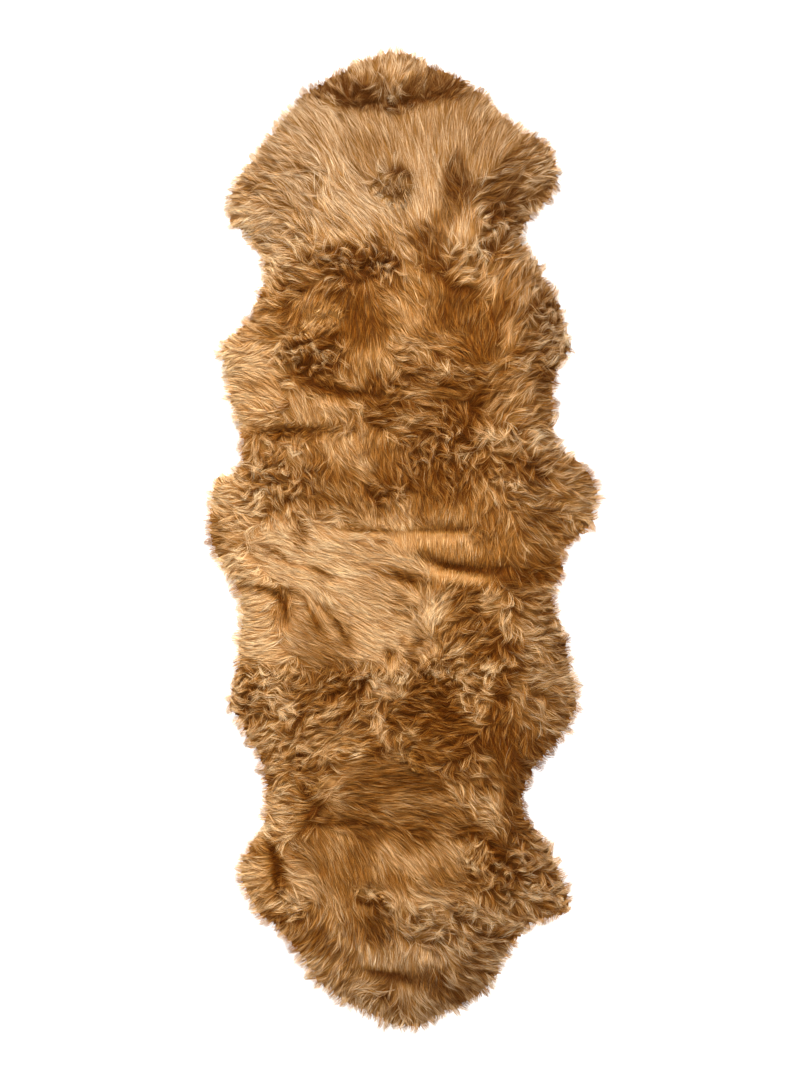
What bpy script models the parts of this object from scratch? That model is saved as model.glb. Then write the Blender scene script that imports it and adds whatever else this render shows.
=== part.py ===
"""A double sheepskin rug, lying flat with the wool side up.

Two pelts are sewn rump to rump across the middle. Each pelt is a sheet of tanned skin with its
fleece growing from it: a lumpy slab of shag with locks round its rim that droop to the floor.
Units are metres. +Y runs along the rug to the neck of the upper pelt, +X to the right and +Z up.
The origin is on the floor, under the middle of the rug.
"""

import math
import random

import bmesh
import bpy
from mathutils import Vector, noise

# Skin and seam
SKIN_THICK = 0.0018
SEAM_Y = 0.015
SEAM_GAP = 0.0003
LAYER_GAP = 0.0003

# Fleece, measured in from the reach of its longest wool
LOCK_REACH = 0.014
SKIN_INSET = 0.022
PILE = 0.033
RIM_HEIGHT = 0.010
RIM_ROUND = 0.046
LEAST_PILE = 0.007
CELL = 0.0165

# Shorter edges than this, where the cells are cut close to the outline, are closed up
LEAST_EDGE = 0.003
LEAST_FACE = 0.001

# Unevenness of the pile: wavelength and height of each size of lump
LUMPS = [
    {"wavelength": 0.120, "height": 0.0060, "slice": 3.7},
    {"wavelength": 0.052, "height": 0.0062, "slice": 8.2},
    {"wavelength": 0.030, "height": 0.0034, "slice": 1.4},
]
SEAM_DIP = {"depth": 0.006, "half_width": 0.014}

# Locks at the rim, each a flattened tube of four sides
LOCK_PITCH = 0.0195
LOCK_ROOT_DEPTH = 0.010
LOCK_SIDE_SWING = 0.28
LOCK_LENGTHS = (0.60, 1.12)
LOCK_RADII = (0.0105, 0.0068, 0.0012)
LOCK_FLATNESS = 0.52
LOCK_ROOT_Z = 0.0092
LOCK_KNEE_Z = 0.0060
LOCK_KNEE_SHARE = 0.50
SEAM_CLEAR = 0.012
WELD = 0.00001
SEED = 11

# Steps of the smooth edge from one section to the next
EDGE_STEPS = 2

# How far the wool reaches to the left and right, at places along the rug from neck to neck
SECTIONS = [
    {"along": 0.900, "left": -0.016, "right": -0.016},
    {"along": 0.872, "left": -0.097, "right": 0.066},
    {"along": 0.845, "left": -0.145, "right": 0.108},
    {"along": 0.811, "left": -0.193, "right": 0.158},
    {"along": 0.767, "left": -0.226, "right": 0.204},
    {"along": 0.723, "left": -0.262, "right": 0.270},
    {"along": 0.690, "left": -0.282, "right": 0.288},
    {"along": 0.657, "left": -0.308, "right": 0.292},
    {"along": 0.614, "left": -0.323, "right": 0.274},
    {"along": 0.590, "left": -0.323, "right": 0.248},
    {"along": 0.568, "left": -0.316, "right": 0.228},
    {"along": 0.546, "left": -0.288, "right": 0.225},
    {"along": 0.515, "left": -0.266, "right": 0.252},
    {"along": 0.482, "left": -0.259, "right": 0.265},
    {"along": 0.440, "left": -0.270, "right": 0.291},
    {"along": 0.395, "left": -0.292, "right": 0.305},
    {"along": 0.372, "left": -0.320, "right": 0.312},
    {"along": 0.348, "left": -0.334, "right": 0.321},
    {"along": 0.325, "left": -0.334, "right": 0.308},
    {"along": 0.300, "left": -0.327, "right": 0.287},
    {"along": 0.240, "left": -0.315, "right": 0.286},
    {"along": 0.176, "left": -0.300, "right": 0.288},
    {"along": 0.150, "left": -0.299, "right": 0.328},
    {"along": 0.128, "left": -0.312, "right": 0.341},
    {"along": 0.108, "left": -0.348, "right": 0.358},
    {"along": 0.060, "left": -0.357, "right": 0.361},
    {"along": 0.020, "left": -0.359, "right": 0.354},
    {"along": -0.002, "left": -0.359, "right": 0.330},
    {"along": -0.035, "left": -0.350, "right": 0.300},
    {"along": -0.065, "left": -0.330, "right": 0.298},
    {"along": -0.109, "left": -0.302, "right": 0.283},
    {"along": -0.170, "left": -0.304, "right": 0.300},
    {"along": -0.235, "left": -0.309, "right": 0.315},
    {"along": -0.300, "left": -0.322, "right": 0.326},
    {"along": -0.335, "left": -0.304, "right": 0.316},
    {"along": -0.372, "left": -0.284, "right": 0.295},
    {"along": -0.418, "left": -0.263, "right": 0.255},
    {"along": -0.482, "left": -0.255, "right": 0.227},
    {"along": -0.524, "left": -0.261, "right": 0.246},
    {"along": -0.568, "left": -0.292, "right": 0.277},
    {"along": -0.612, "left": -0.306, "right": 0.297},
    {"along": -0.658, "left": -0.287, "right": 0.311},
    {"along": -0.690, "left": -0.266, "right": 0.300},
    {"along": -0.712, "left": -0.242, "right": 0.240},
    {"along": -0.765, "left": -0.191, "right": 0.195},
    {"along": -0.815, "left": -0.162, "right": 0.174},
    {"along": -0.850, "left": -0.108, "right": 0.128},
    {"along": -0.892, "left": -0.026, "right": 0.054},
    {"along": -0.900, "left": 0.009, "right": 0.009},
]

# Creases and ridges where the skin is rucked: ends, sideways bow at the middle, half width, rise
FOLDS = {
    "collar": {"ends": ((-0.165, 0.828), (0.125, 0.832)), "bow": -0.034, "half": 0.020, "rise": -0.011},
    "neck_flap": {"ends": ((-0.090, 0.850), (0.070, 0.852)), "bow": 0.008, "half": 0.020, "rise": 0.006},
    "withers": {"ends": ((0.004, 0.590), (0.064, 0.519)), "bow": 0.0, "half": 0.018, "rise": -0.008},
    "shoulder_part": {"ends": ((0.091, 0.657), (0.185, 0.612)), "bow": 0.010, "half": 0.018, "rise": -0.007},
    "waist": {"ends": ((-0.170, 0.498), (-0.045, 0.492)), "bow": -0.006, "half": 0.018, "rise": -0.009},
    "back_roll": {"ends": ((-0.092, 0.330), (0.000, 0.316)), "bow": 0.006, "half": 0.015, "rise": 0.008},
    "back_part": {"ends": ((-0.197, 0.320), (-0.042, 0.265)), "bow": -0.014, "half": 0.015, "rise": -0.010},
    "loin_part": {"ends": ((-0.270, 0.192), (-0.030, 0.203)), "bow": 0.004, "half": 0.014, "rise": -0.009},
    "seam_pucker": {"ends": ((-0.170, 0.017), (0.128, 0.015)), "bow": 0.0, "half": 0.013, "rise": -0.006},
    "crescent": {"ends": ((0.036, -0.038), (0.196, -0.054)), "bow": -0.010, "half": 0.012, "rise": -0.015},
    "crescent_lip": {"ends": ((0.045, -0.062), (0.180, -0.080)), "bow": -0.008, "half": 0.013, "rise": 0.009},
    "left_ruck": {"ends": ((-0.246, -0.020), (-0.195, -0.049)), "bow": 0.0, "half": 0.012, "rise": -0.010},
    "ruck_end": {"ends": ((-0.184, -0.052), (-0.126, -0.068)), "bow": 0.0, "half": 0.012, "rise": -0.008},
    "flap": {"ends": ((-0.284, -0.085), (-0.222, -0.104)), "bow": -0.003, "half": 0.012, "rise": -0.014},
    "flap_fork": {"ends": ((-0.218, -0.100), (-0.214, -0.150)), "bow": 0.004, "half": 0.012, "rise": -0.013},
    "long": {"ends": ((-0.210, -0.094), (-0.098, -0.220)), "bow": 0.030, "half": 0.013, "rise": -0.011},
    "short": {"ends": ((-0.178, -0.126), (-0.150, -0.164)), "bow": 0.006, "half": 0.012, "rise": -0.009},
    "drag_line": {"ends": ((-0.110, -0.122), (0.030, -0.182)), "bow": -0.004, "half": 0.012, "rise": -0.006},
    "pucker": {"ends": ((-0.022, -0.218), (-0.010, -0.184)), "bow": 0.0, "half": 0.012, "rise": -0.010},
    "drag_hook": {"ends": ((0.030, -0.180), (0.064, -0.226)), "bow": 0.004, "half": 0.013, "rise": -0.010},
    "tuft_bank": {"ends": ((-0.137, -0.246), (0.052, -0.238)), "bow": -0.004, "half": 0.014, "rise": 0.007},
    "bank_foot": {"ends": ((-0.200, -0.272), (-0.060, -0.266)), "bow": 0.0, "half": 0.014, "rise": -0.008},
    "flank_ridge": {"ends": ((-0.215, -0.347), (-0.106, -0.318)), "bow": 0.0, "half": 0.014, "rise": 0.008},
    "shoulder": {"ends": ((-0.236, -0.556), (-0.228, -0.656)), "bow": 0.006, "half": 0.014, "rise": -0.013},
    "chest": {"ends": ((-0.085, -0.786), (0.030, -0.812)), "bow": -0.010, "half": 0.015, "rise": -0.009},
    "chest_end": {"ends": ((0.048, -0.806), (0.118, -0.836)), "bow": 0.0, "half": 0.014, "rise": -0.008},
}

# Rounded swells and hollows of the pile: middle, half lengths along X and Y, rise
SWELLS = {
    "seam_mound": {"at": (0.088, 0.050), "half": (0.075, 0.024), "rise": 0.008},
    "crescent_mound": {"at": (0.100, -0.016), "half": (0.070, 0.018), "rise": 0.008},
    "left_shoulder": {"at": (-0.170, 0.660), "half": (0.100, 0.075), "rise": 0.005},
    "right_flank": {"at": (0.190, 0.390), "half": (0.050, 0.070), "rise": 0.005},
    "back_hollow": {"at": (0.097, 0.419), "half": (0.050, 0.042), "rise": -0.009},
    "left_hind": {"at": (-0.130, 0.110), "half": (0.080, 0.045), "rise": 0.005},
    "right_hind": {"at": (0.270, 0.060), "half": (0.070, 0.060), "rise": 0.005},
    "rump_hollow": {"at": (0.155, -0.187), "half": (0.048, 0.036), "rise": -0.010},
    "spine_hollow": {"at": (0.040, -0.305), "half": (0.060, 0.030), "rise": -0.008},
    "loin_hollow": {"at": (0.075, -0.404), "half": (0.060, 0.030), "rise": -0.007},
    "right_hollow": {"at": (0.200, -0.371), "half": (0.036, 0.030), "rise": -0.009},
    "notch_hollow": {"at": (0.200, -0.512), "half": (0.026, 0.036), "rise": -0.008},
    "chest_swell": {"at": (0.050, -0.600), "half": (0.110, 0.060), "rise": 0.004},
    "chest_hollow": {"at": (-0.042, -0.705), "half": (0.034, 0.040), "rise": -0.010},
    "left_chest_hollow": {"at": (-0.160, -0.722), "half": (0.036, 0.034), "rise": -0.008},
}


def clear_scene():
    for obj in list(bpy.data.objects):
        bpy.data.objects.remove(obj)


def new_collection(name):
    collection = bpy.data.collections.new(name)
    bpy.context.scene.collection.children.link(collection)
    return collection


def material(name, colour, roughness):
    made = bpy.data.materials.new(name)
    made.use_nodes = True
    shader = made.node_tree.nodes["Principled BSDF"]
    shader.inputs["Base Color"].default_value = (*colour, 1.0)
    shader.inputs["Roughness"].default_value = roughness
    shader.inputs["Metallic"].default_value = 0.0
    return made


def between(before, start, end, after, share):
    """A point on the smooth curve from start to end, which its outer neighbours steer."""
    square = share * share
    cube = square * share
    return 0.5 * (
        2.0 * start
        + (end - before) * share
        + (2.0 * before - 5.0 * start + 4.0 * end - after) * square
        + (3.0 * start - before - 3.0 * end + after) * cube
    )


def rug_edge():
    """The closed line of the wool's reach, anticlockwise, as vectors in the plane."""
    tips = [SECTIONS[0], SECTIONS[-1]]
    flanks = SECTIONS[1:-1]
    marks = [Vector((tips[1]["right"], tips[1]["along"]))]
    marks += [Vector((row["right"], row["along"])) for row in reversed(flanks)]
    marks += [Vector((tips[0]["left"], tips[0]["along"]))]
    marks += [Vector((row["left"], row["along"])) for row in flanks]
    count = len(marks)
    line = []
    for i in range(count):
        near = [marks[(i + step) % count] for step in (-1, 0, 1, 2)]
        line += [between(*near, step / EDGE_STEPS) for step in range(EDGE_STEPS)]
    return line


def outward(line, i):
    """The direction out of the rug at a point of its edge, which runs anticlockwise."""
    along = line[(i + 1) % len(line)] - line[i - 1]
    return Vector((along.y, -along.x)).normalized()


def drawn_in(line, inset):
    return [point - outward(line, i) * inset for i, point in enumerate(line)]


def distance_to(line, x, y):
    """How far a place lies from a closed line."""
    place = Vector((x, y))
    nearest = math.inf
    for i, end in enumerate(line):
        start = line[i - 1]
        side = end - start
        share = max(0.0, min(1.0, (place - start).dot(side) / side.length_squared))
        nearest = min(nearest, (start + side * share - place).length)
    return nearest


def bell(offset):
    return math.exp(-offset * offset)


def fold_rise(fold, x, y):
    """The height that one crease or ridge adds at a place."""
    start, end = (Vector(point) for point in fold["ends"])
    along = end - start
    place = Vector((x, y)) - start
    share = place.dot(along) / along.length_squared
    aside = (along.x * place.y - along.y * place.x) / along.length
    inside = max(0.0, min(1.0, share))
    bow = fold["bow"] * 4.0 * inside * (1.0 - inside)
    past = (share - inside) * along.length
    return fold["rise"] * bell((aside - bow) / fold["half"]) * bell(past / fold["half"])


def swell_rise(swell, x, y):
    across, along = swell["half"]
    return swell["rise"] * bell((x - swell["at"][0]) / across) * bell((y - swell["at"][1]) / along)


def lump_rise(x, y):
    return sum(
        lump["height"]
        * noise.noise(Vector((x / lump["wavelength"], y / lump["wavelength"], lump["slice"])))
        for lump in LUMPS
    )


def fleece_top(edge, x, y):
    """The height of the fleece's surface over the floor at a place inside the edge."""
    shoulder = math.sin(min(1.0, distance_to(edge, x, y) / RIM_ROUND) * math.pi / 2)
    swing = sum(fold_rise(fold, x, y) for fold in FOLDS.values())
    swing += sum(swell_rise(swell, x, y) for swell in SWELLS.values())
    swing += lump_rise(x, y)
    swing -= SEAM_DIP["depth"] * bell((y - SEAM_Y) / SEAM_DIP["half_width"])
    height = RIM_HEIGHT + (PILE - RIM_HEIGHT + swing) * shoulder
    return max(LEAST_PILE, height)


def cut_at(bm, place, direction, drop_outer=False):
    """Cuts the mesh by a plane, and drops what lies beyond it if that is asked for."""
    bmesh.ops.bisect_plane(
        bm,
        geom=bm.verts[:] + bm.edges[:] + bm.faces[:],
        plane_co=place,
        plane_no=direction,
        clear_outer=drop_outer,
    )


def pelt_face(edge, side):
    """A flat face with the outline of one pelt. side is 1 for the upper pelt and -1 for the lower."""
    bm = bmesh.new()
    bm.faces.new([bm.verts.new((*point, 0.0)) for point in edge])
    cut_at(bm, (0.0, SEAM_Y + side * SEAM_GAP / 2, 0.0), (0.0, -side, 0.0), drop_outer=True)
    return bm


def into_cells(bm):
    """Divides a flat face into square cells, so that it can be made uneven."""
    for axis in (0, 1):
        low = min(vert.co[axis] for vert in bm.verts)
        high = max(vert.co[axis] for vert in bm.verts)
        direction = Vector((0.0, 0.0, 0.0))
        direction[axis] = 1.0
        for step in range(math.floor(low / CELL), math.ceil(high / CELL) + 1):
            cut_at(bm, direction * step * CELL, direction)
    bmesh.ops.remove_doubles(bm, verts=bm.verts[:], dist=LEAST_EDGE)
    bmesh.ops.dissolve_degenerate(bm, dist=LEAST_FACE, edges=bm.edges[:])


def closed_below(bm, depth):
    """Gives a face a wall down to a flat underside, and closes it."""
    rim = [edge for edge in bm.edges if edge.is_boundary]
    wall = bmesh.ops.extrude_edge_only(bm, edges=rim)["geom"]
    for vert in wall:
        if isinstance(vert, bmesh.types.BMVert):
            vert.co.z = depth
    foot = [edge for edge in wall if isinstance(edge, bmesh.types.BMEdge)]
    bmesh.ops.holes_fill(bm, edges=foot, sides=0)


def object_of(bm, name, collection, finish):
    bmesh.ops.recalc_face_normals(bm, faces=bm.faces[:])
    mesh = bpy.data.meshes.new(name)
    bm.to_mesh(mesh)
    bm.free()
    obj = bpy.data.objects.new(name, mesh)
    obj.data.materials.append(finish)
    collection.objects.link(obj)
    return obj


def skin(name, edge, side, collection, finish):
    """A flat sheet of tanned skin with its underside on the floor."""
    bm = pelt_face(drawn_in(edge, SKIN_INSET), side)
    for vert in bm.verts:
        vert.co.z = SKIN_THICK
    closed_below(bm, 0.0)
    return object_of(bm, name, collection, finish)


def fleece_slab(name, edge, side, collection, finish):
    """The uneven slab of wool on one skin, without its locks."""
    rim = drawn_in(edge, LOCK_REACH)
    bm = pelt_face(rim, side)
    into_cells(bm)
    for vert in bm.verts:
        vert.co.z = fleece_top(rim, vert.co.x, vert.co.y)
    bmesh.ops.triangulate(bm, faces=bm.faces[:])
    closed_below(bm, SKIN_THICK + LAYER_GAP)
    return object_of(bm, name, collection, finish)


def lock_line(root, out, chance):
    """Three points down the middle of a lock, from inside the slab to its tip on the floor."""
    swing = chance.uniform(-LOCK_SIDE_SWING, LOCK_SIDE_SWING)
    way = Vector((out.x - out.y * swing, out.y + out.x * swing)).normalized()
    length = LOCK_REACH * chance.uniform(*LOCK_LENGTHS)
    inside = root - out * LOCK_ROOT_DEPTH
    knee = root + (out + way).normalized() * length * LOCK_KNEE_SHARE
    tip = root + way * length
    tip_z = LOCK_RADII[-1] * LOCK_FLATNESS
    return [(*inside, LOCK_ROOT_Z), (*knee, LOCK_KNEE_Z), (*tip, tip_z)]


def lock_curve(edge, side, collection):
    """One curve object with a spline for each lock round a pelt's rim."""
    rim = drawn_in(edge, LOCK_REACH)
    data = bpy.data.curves.new("locks", "CURVE")
    data.dimensions = "3D"
    data.fill_mode = "FULL"
    data.bevel_depth = 1.0
    data.bevel_resolution = 0
    data.use_fill_caps = True
    chance = random.Random(SEED)
    walked = LOCK_PITCH / 2
    for i, point in enumerate(rim):
        walked += (point - rim[i - 1]).length
        if walked < LOCK_PITCH:
            continue
        walked -= LOCK_PITCH
        line = lock_line(point, outward(rim, i), chance)
        if min((place[1] - SEAM_Y) * side for place in line) < SEAM_CLEAR:
            continue
        spline = data.splines.new("POLY")
        spline.points.add(len(line) - 1)
        for target, (x, y, z), radius in zip(spline.points, line, LOCK_RADII):
            target.co = (x, y, z / LOCK_FLATNESS, 1.0)
            target.radius = radius
    obj = bpy.data.objects.new("locks", data)
    collection.objects.link(obj)
    return obj


def flattened_mesh(curve, name, collection):
    """Replaces the curve of locks by its mesh, flattened, with the caps welded to the sides."""
    graph = bpy.context.evaluated_depsgraph_get()
    mesh = bpy.data.meshes.new_from_object(curve.evaluated_get(graph))
    bm = bmesh.new()
    bm.from_mesh(mesh)
    bmesh.ops.scale(bm, vec=(1.0, 1.0, LOCK_FLATNESS), verts=bm.verts[:])
    bmesh.ops.remove_doubles(bm, verts=bm.verts[:], dist=WELD)
    bmesh.ops.recalc_face_normals(bm, faces=bm.faces[:])
    bm.to_mesh(mesh)
    bm.free()
    obj = bpy.data.objects.new(name, mesh)
    collection.objects.link(obj)
    bpy.data.objects.remove(curve)
    obj.hide_render = True
    obj.display_type = "WIRE"
    return obj


def fleece(name, edge, side, pieces, helpers, finish):
    """A pelt's wool as one solid: the slab with its rim locks fused on at their roots."""
    slab = fleece_slab(name, edge, side, pieces, finish)
    locks = flattened_mesh(lock_curve(edge, side, helpers), f"{name}_locks", helpers)
    fuse = slab.modifiers.new("rim locks", "BOOLEAN")
    fuse.operation = "UNION"
    fuse.solver = "EXACT"
    fuse.use_self = True
    fuse.object = locks
    return slab


def main():
    clear_scene()
    rug = new_collection("double sheepskin rug")
    helpers = new_collection("lock helpers")
    wool = material("golden brown wool", (0.47, 0.26, 0.10), 0.85)
    suede = material("tanned skin", (0.62, 0.50, 0.36), 0.90)
    edge = rug_edge()
    for name, side in (("upper", 1), ("lower", -1)):
        skin(f"{name}_skin", edge, side, rug, suede)
        fleece(f"{name}_fleece", edge, side, rug, helpers, wool)


main()
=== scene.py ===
import math
import time

import bmesh
import bpy
import numpy as np
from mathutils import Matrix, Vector, geometry, noise
from mathutils.bvhtree import BVHTree


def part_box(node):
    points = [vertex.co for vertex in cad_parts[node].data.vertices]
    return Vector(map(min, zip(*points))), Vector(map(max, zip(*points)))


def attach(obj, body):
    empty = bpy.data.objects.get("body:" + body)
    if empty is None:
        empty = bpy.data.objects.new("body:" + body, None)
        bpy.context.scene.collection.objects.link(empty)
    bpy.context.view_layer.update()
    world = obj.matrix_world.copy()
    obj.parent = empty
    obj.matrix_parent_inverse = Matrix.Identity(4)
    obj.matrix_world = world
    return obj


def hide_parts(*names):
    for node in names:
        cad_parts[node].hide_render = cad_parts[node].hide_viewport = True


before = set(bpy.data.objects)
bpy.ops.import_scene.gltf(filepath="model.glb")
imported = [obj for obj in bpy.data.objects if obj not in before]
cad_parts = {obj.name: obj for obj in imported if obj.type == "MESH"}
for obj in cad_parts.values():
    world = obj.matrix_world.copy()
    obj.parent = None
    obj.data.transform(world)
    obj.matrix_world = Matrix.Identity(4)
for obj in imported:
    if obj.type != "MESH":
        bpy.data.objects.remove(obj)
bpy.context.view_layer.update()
started = time.perf_counter()


def report(stage):
    print(f"[{time.perf_counter() - started:6.1f} s] {stage}", flush=True)


# node trees


def pickSocket(sockets, key):
    # by name or by number, among the sockets that are in use
    live = [socket for socket in sockets if socket.enabled]
    if isinstance(key, int):
        return live[key]
    return next(socket for socket in live if socket.name == key)


def operator(operation, swapped=False):
    return lambda wire, term: wire.reckon(operation, term, swapped)


class Wire:
    # one socket of a node tree, which can be reckoned with like a number or a vector
    def __init__(self, graph, socket):
        self.graph = graph
        self.socket = socket

    def other(self, key):
        # another output of the same node
        return Wire(self.graph, pickSocket(self.socket.node.outputs, key))

    def reckon(self, operation, term, swapped=False):
        pair = [term, self] if swapped else [self, term]
        isVector = any(isinstance(end, Wire) and end.socket.type == "VECTOR" for end in pair)
        kind = "ShaderNodeVectorMath" if isVector else "ShaderNodeMath"
        return self.graph.add(kind, {"operation": operation}, dict(enumerate(pair)))

    __add__, __radd__ = operator("ADD"), operator("ADD", True)
    __sub__, __rsub__ = operator("SUBTRACT"), operator("SUBTRACT", True)
    __mul__, __rmul__ = operator("MULTIPLY"), operator("MULTIPLY", True)
    __truediv__, __pow__ = operator("DIVIDE"), operator("POWER")
    __gt__, __lt__ = operator("GREATER_THAN"), operator("LESS_THAN")


class Graph:
    def __init__(self, tree):
        self.tree = tree
        tree.nodes.clear()

    def add(self, kind, settings=None, sockets=None, out=0):
        # a node with its settings, then the values or wires of its sockets
        node = self.tree.nodes.new(kind)
        for name, value in (settings or {}).items():
            if name == "stops":
                self.setStops(node.color_ramp, value)
            else:
                setattr(node, name, value)
        for key, value in (sockets or {}).items():
            target = pickSocket(node.inputs, key)
            for wire in value if isinstance(value, list) else [value]:
                if isinstance(wire, Wire):
                    self.tree.links.new(wire.socket, target)
            if isinstance(value, (Wire, list)):
                continue
            single = target.type == "VECTOR" and isinstance(value, (int, float))
            target.default_value = (value, value, value) if single else value
        return Wire(self, pickSocket(node.outputs, out)) if len(node.outputs) else node

    def setStops(self, ramp, stops):
        for place, colour in stops[1:-1]:
            ramp.elements.new(place)
        for element, (place, colour) in zip(ramp.elements, stops):
            element.position = place
            element.color = (*colour, 1.0)


class Growth(Graph):
    # a Geometry Nodes tree, with its named inputs and the few nodes used over and over
    def __init__(self, name, inputs):
        super().__init__(bpy.data.node_groups.new(name, "GeometryNodeTree"))
        face = self.tree.interface
        face.new_socket("Geometry", in_out="INPUT", socket_type="NodeSocketGeometry")
        for label, kind in inputs.items():
            face.new_socket(label, in_out="INPUT", socket_type="NodeSocket" + kind)
        face.new_socket("Geometry", in_out="OUTPUT", socket_type="NodeSocketGeometry")
        self.entry = self.add("NodeGroupInput")

    def given(self, label):
        return self.entry.other(label)

    def read(self, name, kind="FLOAT"):
        return self.add("GeometryNodeInputNamedAttribute", {"data_type": kind}, {"Name": name})

    def store(self, shape, name, value, kind="FLOAT", domain="POINT"):
        sockets = {"Geometry": shape, "Name": name, "Value": value}
        return self.add("GeometryNodeStoreNamedAttribute", {"data_type": kind, "domain": domain}, sockets)

    def chance(self, low, high, seed, kind="FLOAT"):
        sockets = {"Min": low, "Max": high, "Seed": seed}
        return self.add("FunctionNodeRandomValue", {"data_type": kind}, sockets)

    def scatter(self, reach, seed):
        # a random step over the floor
        return self.chance((-reach, -reach, 0.0), (reach, reach, 0.0), seed, "FLOAT_VECTOR")

    def maths(self, operation, *terms):
        return self.add("ShaderNodeMath", {"operation": operation}, dict(enumerate(terms)))

    def vectorMaths(self, operation, *terms, out=0):
        return self.add("ShaderNodeVectorMath", {"operation": operation}, dict(enumerate(terms)), out)

    def vector(self, x, y, z):
        return self.add("ShaderNodeCombineXYZ", {}, {"X": x, "Y": y, "Z": z})

    def part(self, vector, axis):
        return self.add("ShaderNodeSeparateXYZ", {}, {0: vector}, axis)

    def turned(self, vector, angle):
        # turned about the upright
        sockets = {"Vector": vector, "Angle": angle}
        return self.add("ShaderNodeVectorRotate", {"rotation_type": "Z_AXIS"}, sockets)

    def under(self, ground, place, value, kind="FLOAT_VECTOR"):
        # a value of the ground, read where it is nearest to a place
        sockets = {"Mesh": ground, "Value": value, "Sample Position": place}
        return self.add("GeometryNodeSampleNearestSurface", {"data_type": kind}, sockets)

    def finish(self, shape, material):
        real = self.add("GeometryNodeRealizeInstances", {}, {"Geometry": shape})
        worn = self.add("GeometryNodeSetMaterial", {}, {"Geometry": real, "Material": material})
        self.add("NodeGroupOutput", {}, {"Geometry": worn})


def grown(host, tree, name, values):
    # runs a tree on an object and gives the plain mesh that comes out, as a new object
    modifier = host.modifiers.new(name, "NODES")
    modifier.node_group = tree
    for item in tree.interface.items_tree:
        if item.in_out == "INPUT" and item.name in values:
            modifier[item.identifier] = values[item.name]
    bpy.context.view_layer.update()
    view = host.evaluated_get(bpy.context.evaluated_depsgraph_get())
    mesh = bpy.data.meshes.new_from_object(view)
    mesh.name = name
    host.modifiers.remove(modifier)
    piece = bpy.data.objects.new(name, mesh)
    bpy.context.scene.collection.objects.link(piece)
    return piece


# outlines and sheets

seamY = (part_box("upper_skin")[0].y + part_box("lower_skin")[1].y) / 2


def atSeam(places, within=0.0005):
    return np.abs(places[:, 1] - seamY) < within


def gapTo(places, start, step):
    # distance from each place to one stretch of an outline
    share = np.clip((places - start) @ step / (step @ step), 0, 1)
    return np.linalg.norm(start + share[:, None] * step - places, axis=1)


def rimOf(faces):
    # the edges that only one face uses, joined end to end, and the longest ring of them
    directed = {(a, b) for face in faces for a, b in zip(face, (*face[1:], face[0]))}
    following = {a: b for a, b in directed if (b, a) not in directed}
    rings = []
    while following:
        start, spot = following.popitem()
        ring = [start]
        while spot != start and spot in following:
            ring.append(spot)
            spot = following.pop(spot)
        rings.append(ring)
    return max(rings, key=len)


def skinLoop(node):
    # the outline of a CAD skin, in order and anticlockwise, from the rim of its top face
    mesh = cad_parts[node].data
    top = max(vert.co.z for vert in mesh.vertices)
    keys = [tuple(round(value, 6) for value in vert.co) for vert in mesh.vertices]
    faces = [tuple(keys[i] for i in face.vertices) for face in mesh.polygons]
    upper = [face for face in faces if min(key[2] for key in face) > top - 1e-5]
    return np.array(rimOf(upper))[:, :2]


def smoothLoop(loop, steps):
    # rounds the outline between its corners and leaves the seam straight
    onSeam = atSeam(loop)
    before, after, beyond = np.roll(loop, 1, 0), np.roll(loop, -1, 0), np.roll(loop, -2, 0)
    straight = (onSeam & np.roll(onSeam, -1))[:, None]
    before = np.where(onSeam[:, None], 2 * loop - after, before)
    beyond = np.where(np.roll(onSeam, -1)[:, None], 2 * after - loop, beyond)
    rounds = []
    for step in range(steps):
        share = step / steps
        curve = 0.5 * (
            2 * loop
            + (after - before) * share
            + (2 * before - 5 * loop + 4 * after - beyond) * share**2
            + (3 * loop - before - 3 * after + beyond) * share**3
        )
        rounds.append(np.where(straight, loop + (after - loop) * share, curve))
    smooth = np.stack(rounds, 1).reshape(-1, 2)
    smooth[:, 1] = np.clip(smooth[:, 1], loop[:, 1].min(), loop[:, 1].max())
    return smooth


def evenLoop(loop, spacing):
    # the same outline with no two points further apart than the spacing
    points = []
    for start, end in zip(loop, np.roll(loop, -1, 0)):
        count = max(1, math.ceil(np.linalg.norm(end - start) / spacing))
        points += [start + (end - start) * k / count for k in range(count)]
    return np.array(points)


def grownLoop(loop, reach):
    # the outline moved outwards everywhere but along the seam
    along = np.roll(loop, -1, 0) - np.roll(loop, 1, 0)
    out = np.column_stack([along[:, 1], -along[:, 0]])
    out /= np.linalg.norm(out, axis=1, keepdims=True)
    onSeam = atSeam(loop)
    atEnd = onSeam & ~(np.roll(onSeam, 1) & np.roll(onSeam, -1))
    out[onSeam] = 0.0
    out[atEnd, 0] = np.sign(loop[atEnd, 0])
    return loop + out * np.reshape(reach, (-1, 1))


def ripple(places, finest):
    # a smooth random number from -1 to 1 at each place, of about this size of ripple
    return np.array([noise.noise(Vector((x / finest, y / finest, 0.5))) for x, y in places])


def nearEdge(places, loop):
    # distance from each place to the open edge, and the way out of the rug there
    ends = np.roll(loop, -1, 0)
    free = ~(atSeam(loop, 0.001) & atSeam(ends, 0.001))
    starts, ends = loop[free], ends[free]
    side = ends - starts
    best = np.full(len(places), np.inf)
    out = np.zeros((len(places), 2))
    for start, step in zip(starts, side):
        gap = gapTo(places, start, step)
        closer = gap < best
        best[closer] = gap[closer]
        out[closer] = np.array([step[1], -step[0]]) / np.linalg.norm(step)
    return best, out


def insideLoop(places, loop):
    inside = np.zeros(len(places), bool)
    for (ax, ay), (bx, by) in zip(loop, np.roll(loop, -1, 0)):
        if ay == by:
            continue
        crosses = (ay > places[:, 1]) != (by > places[:, 1])
        inside ^= crosses & (places[:, 0] < ax + (places[:, 1] - ay) * (bx - ax) / (by - ay))
    return inside


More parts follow.
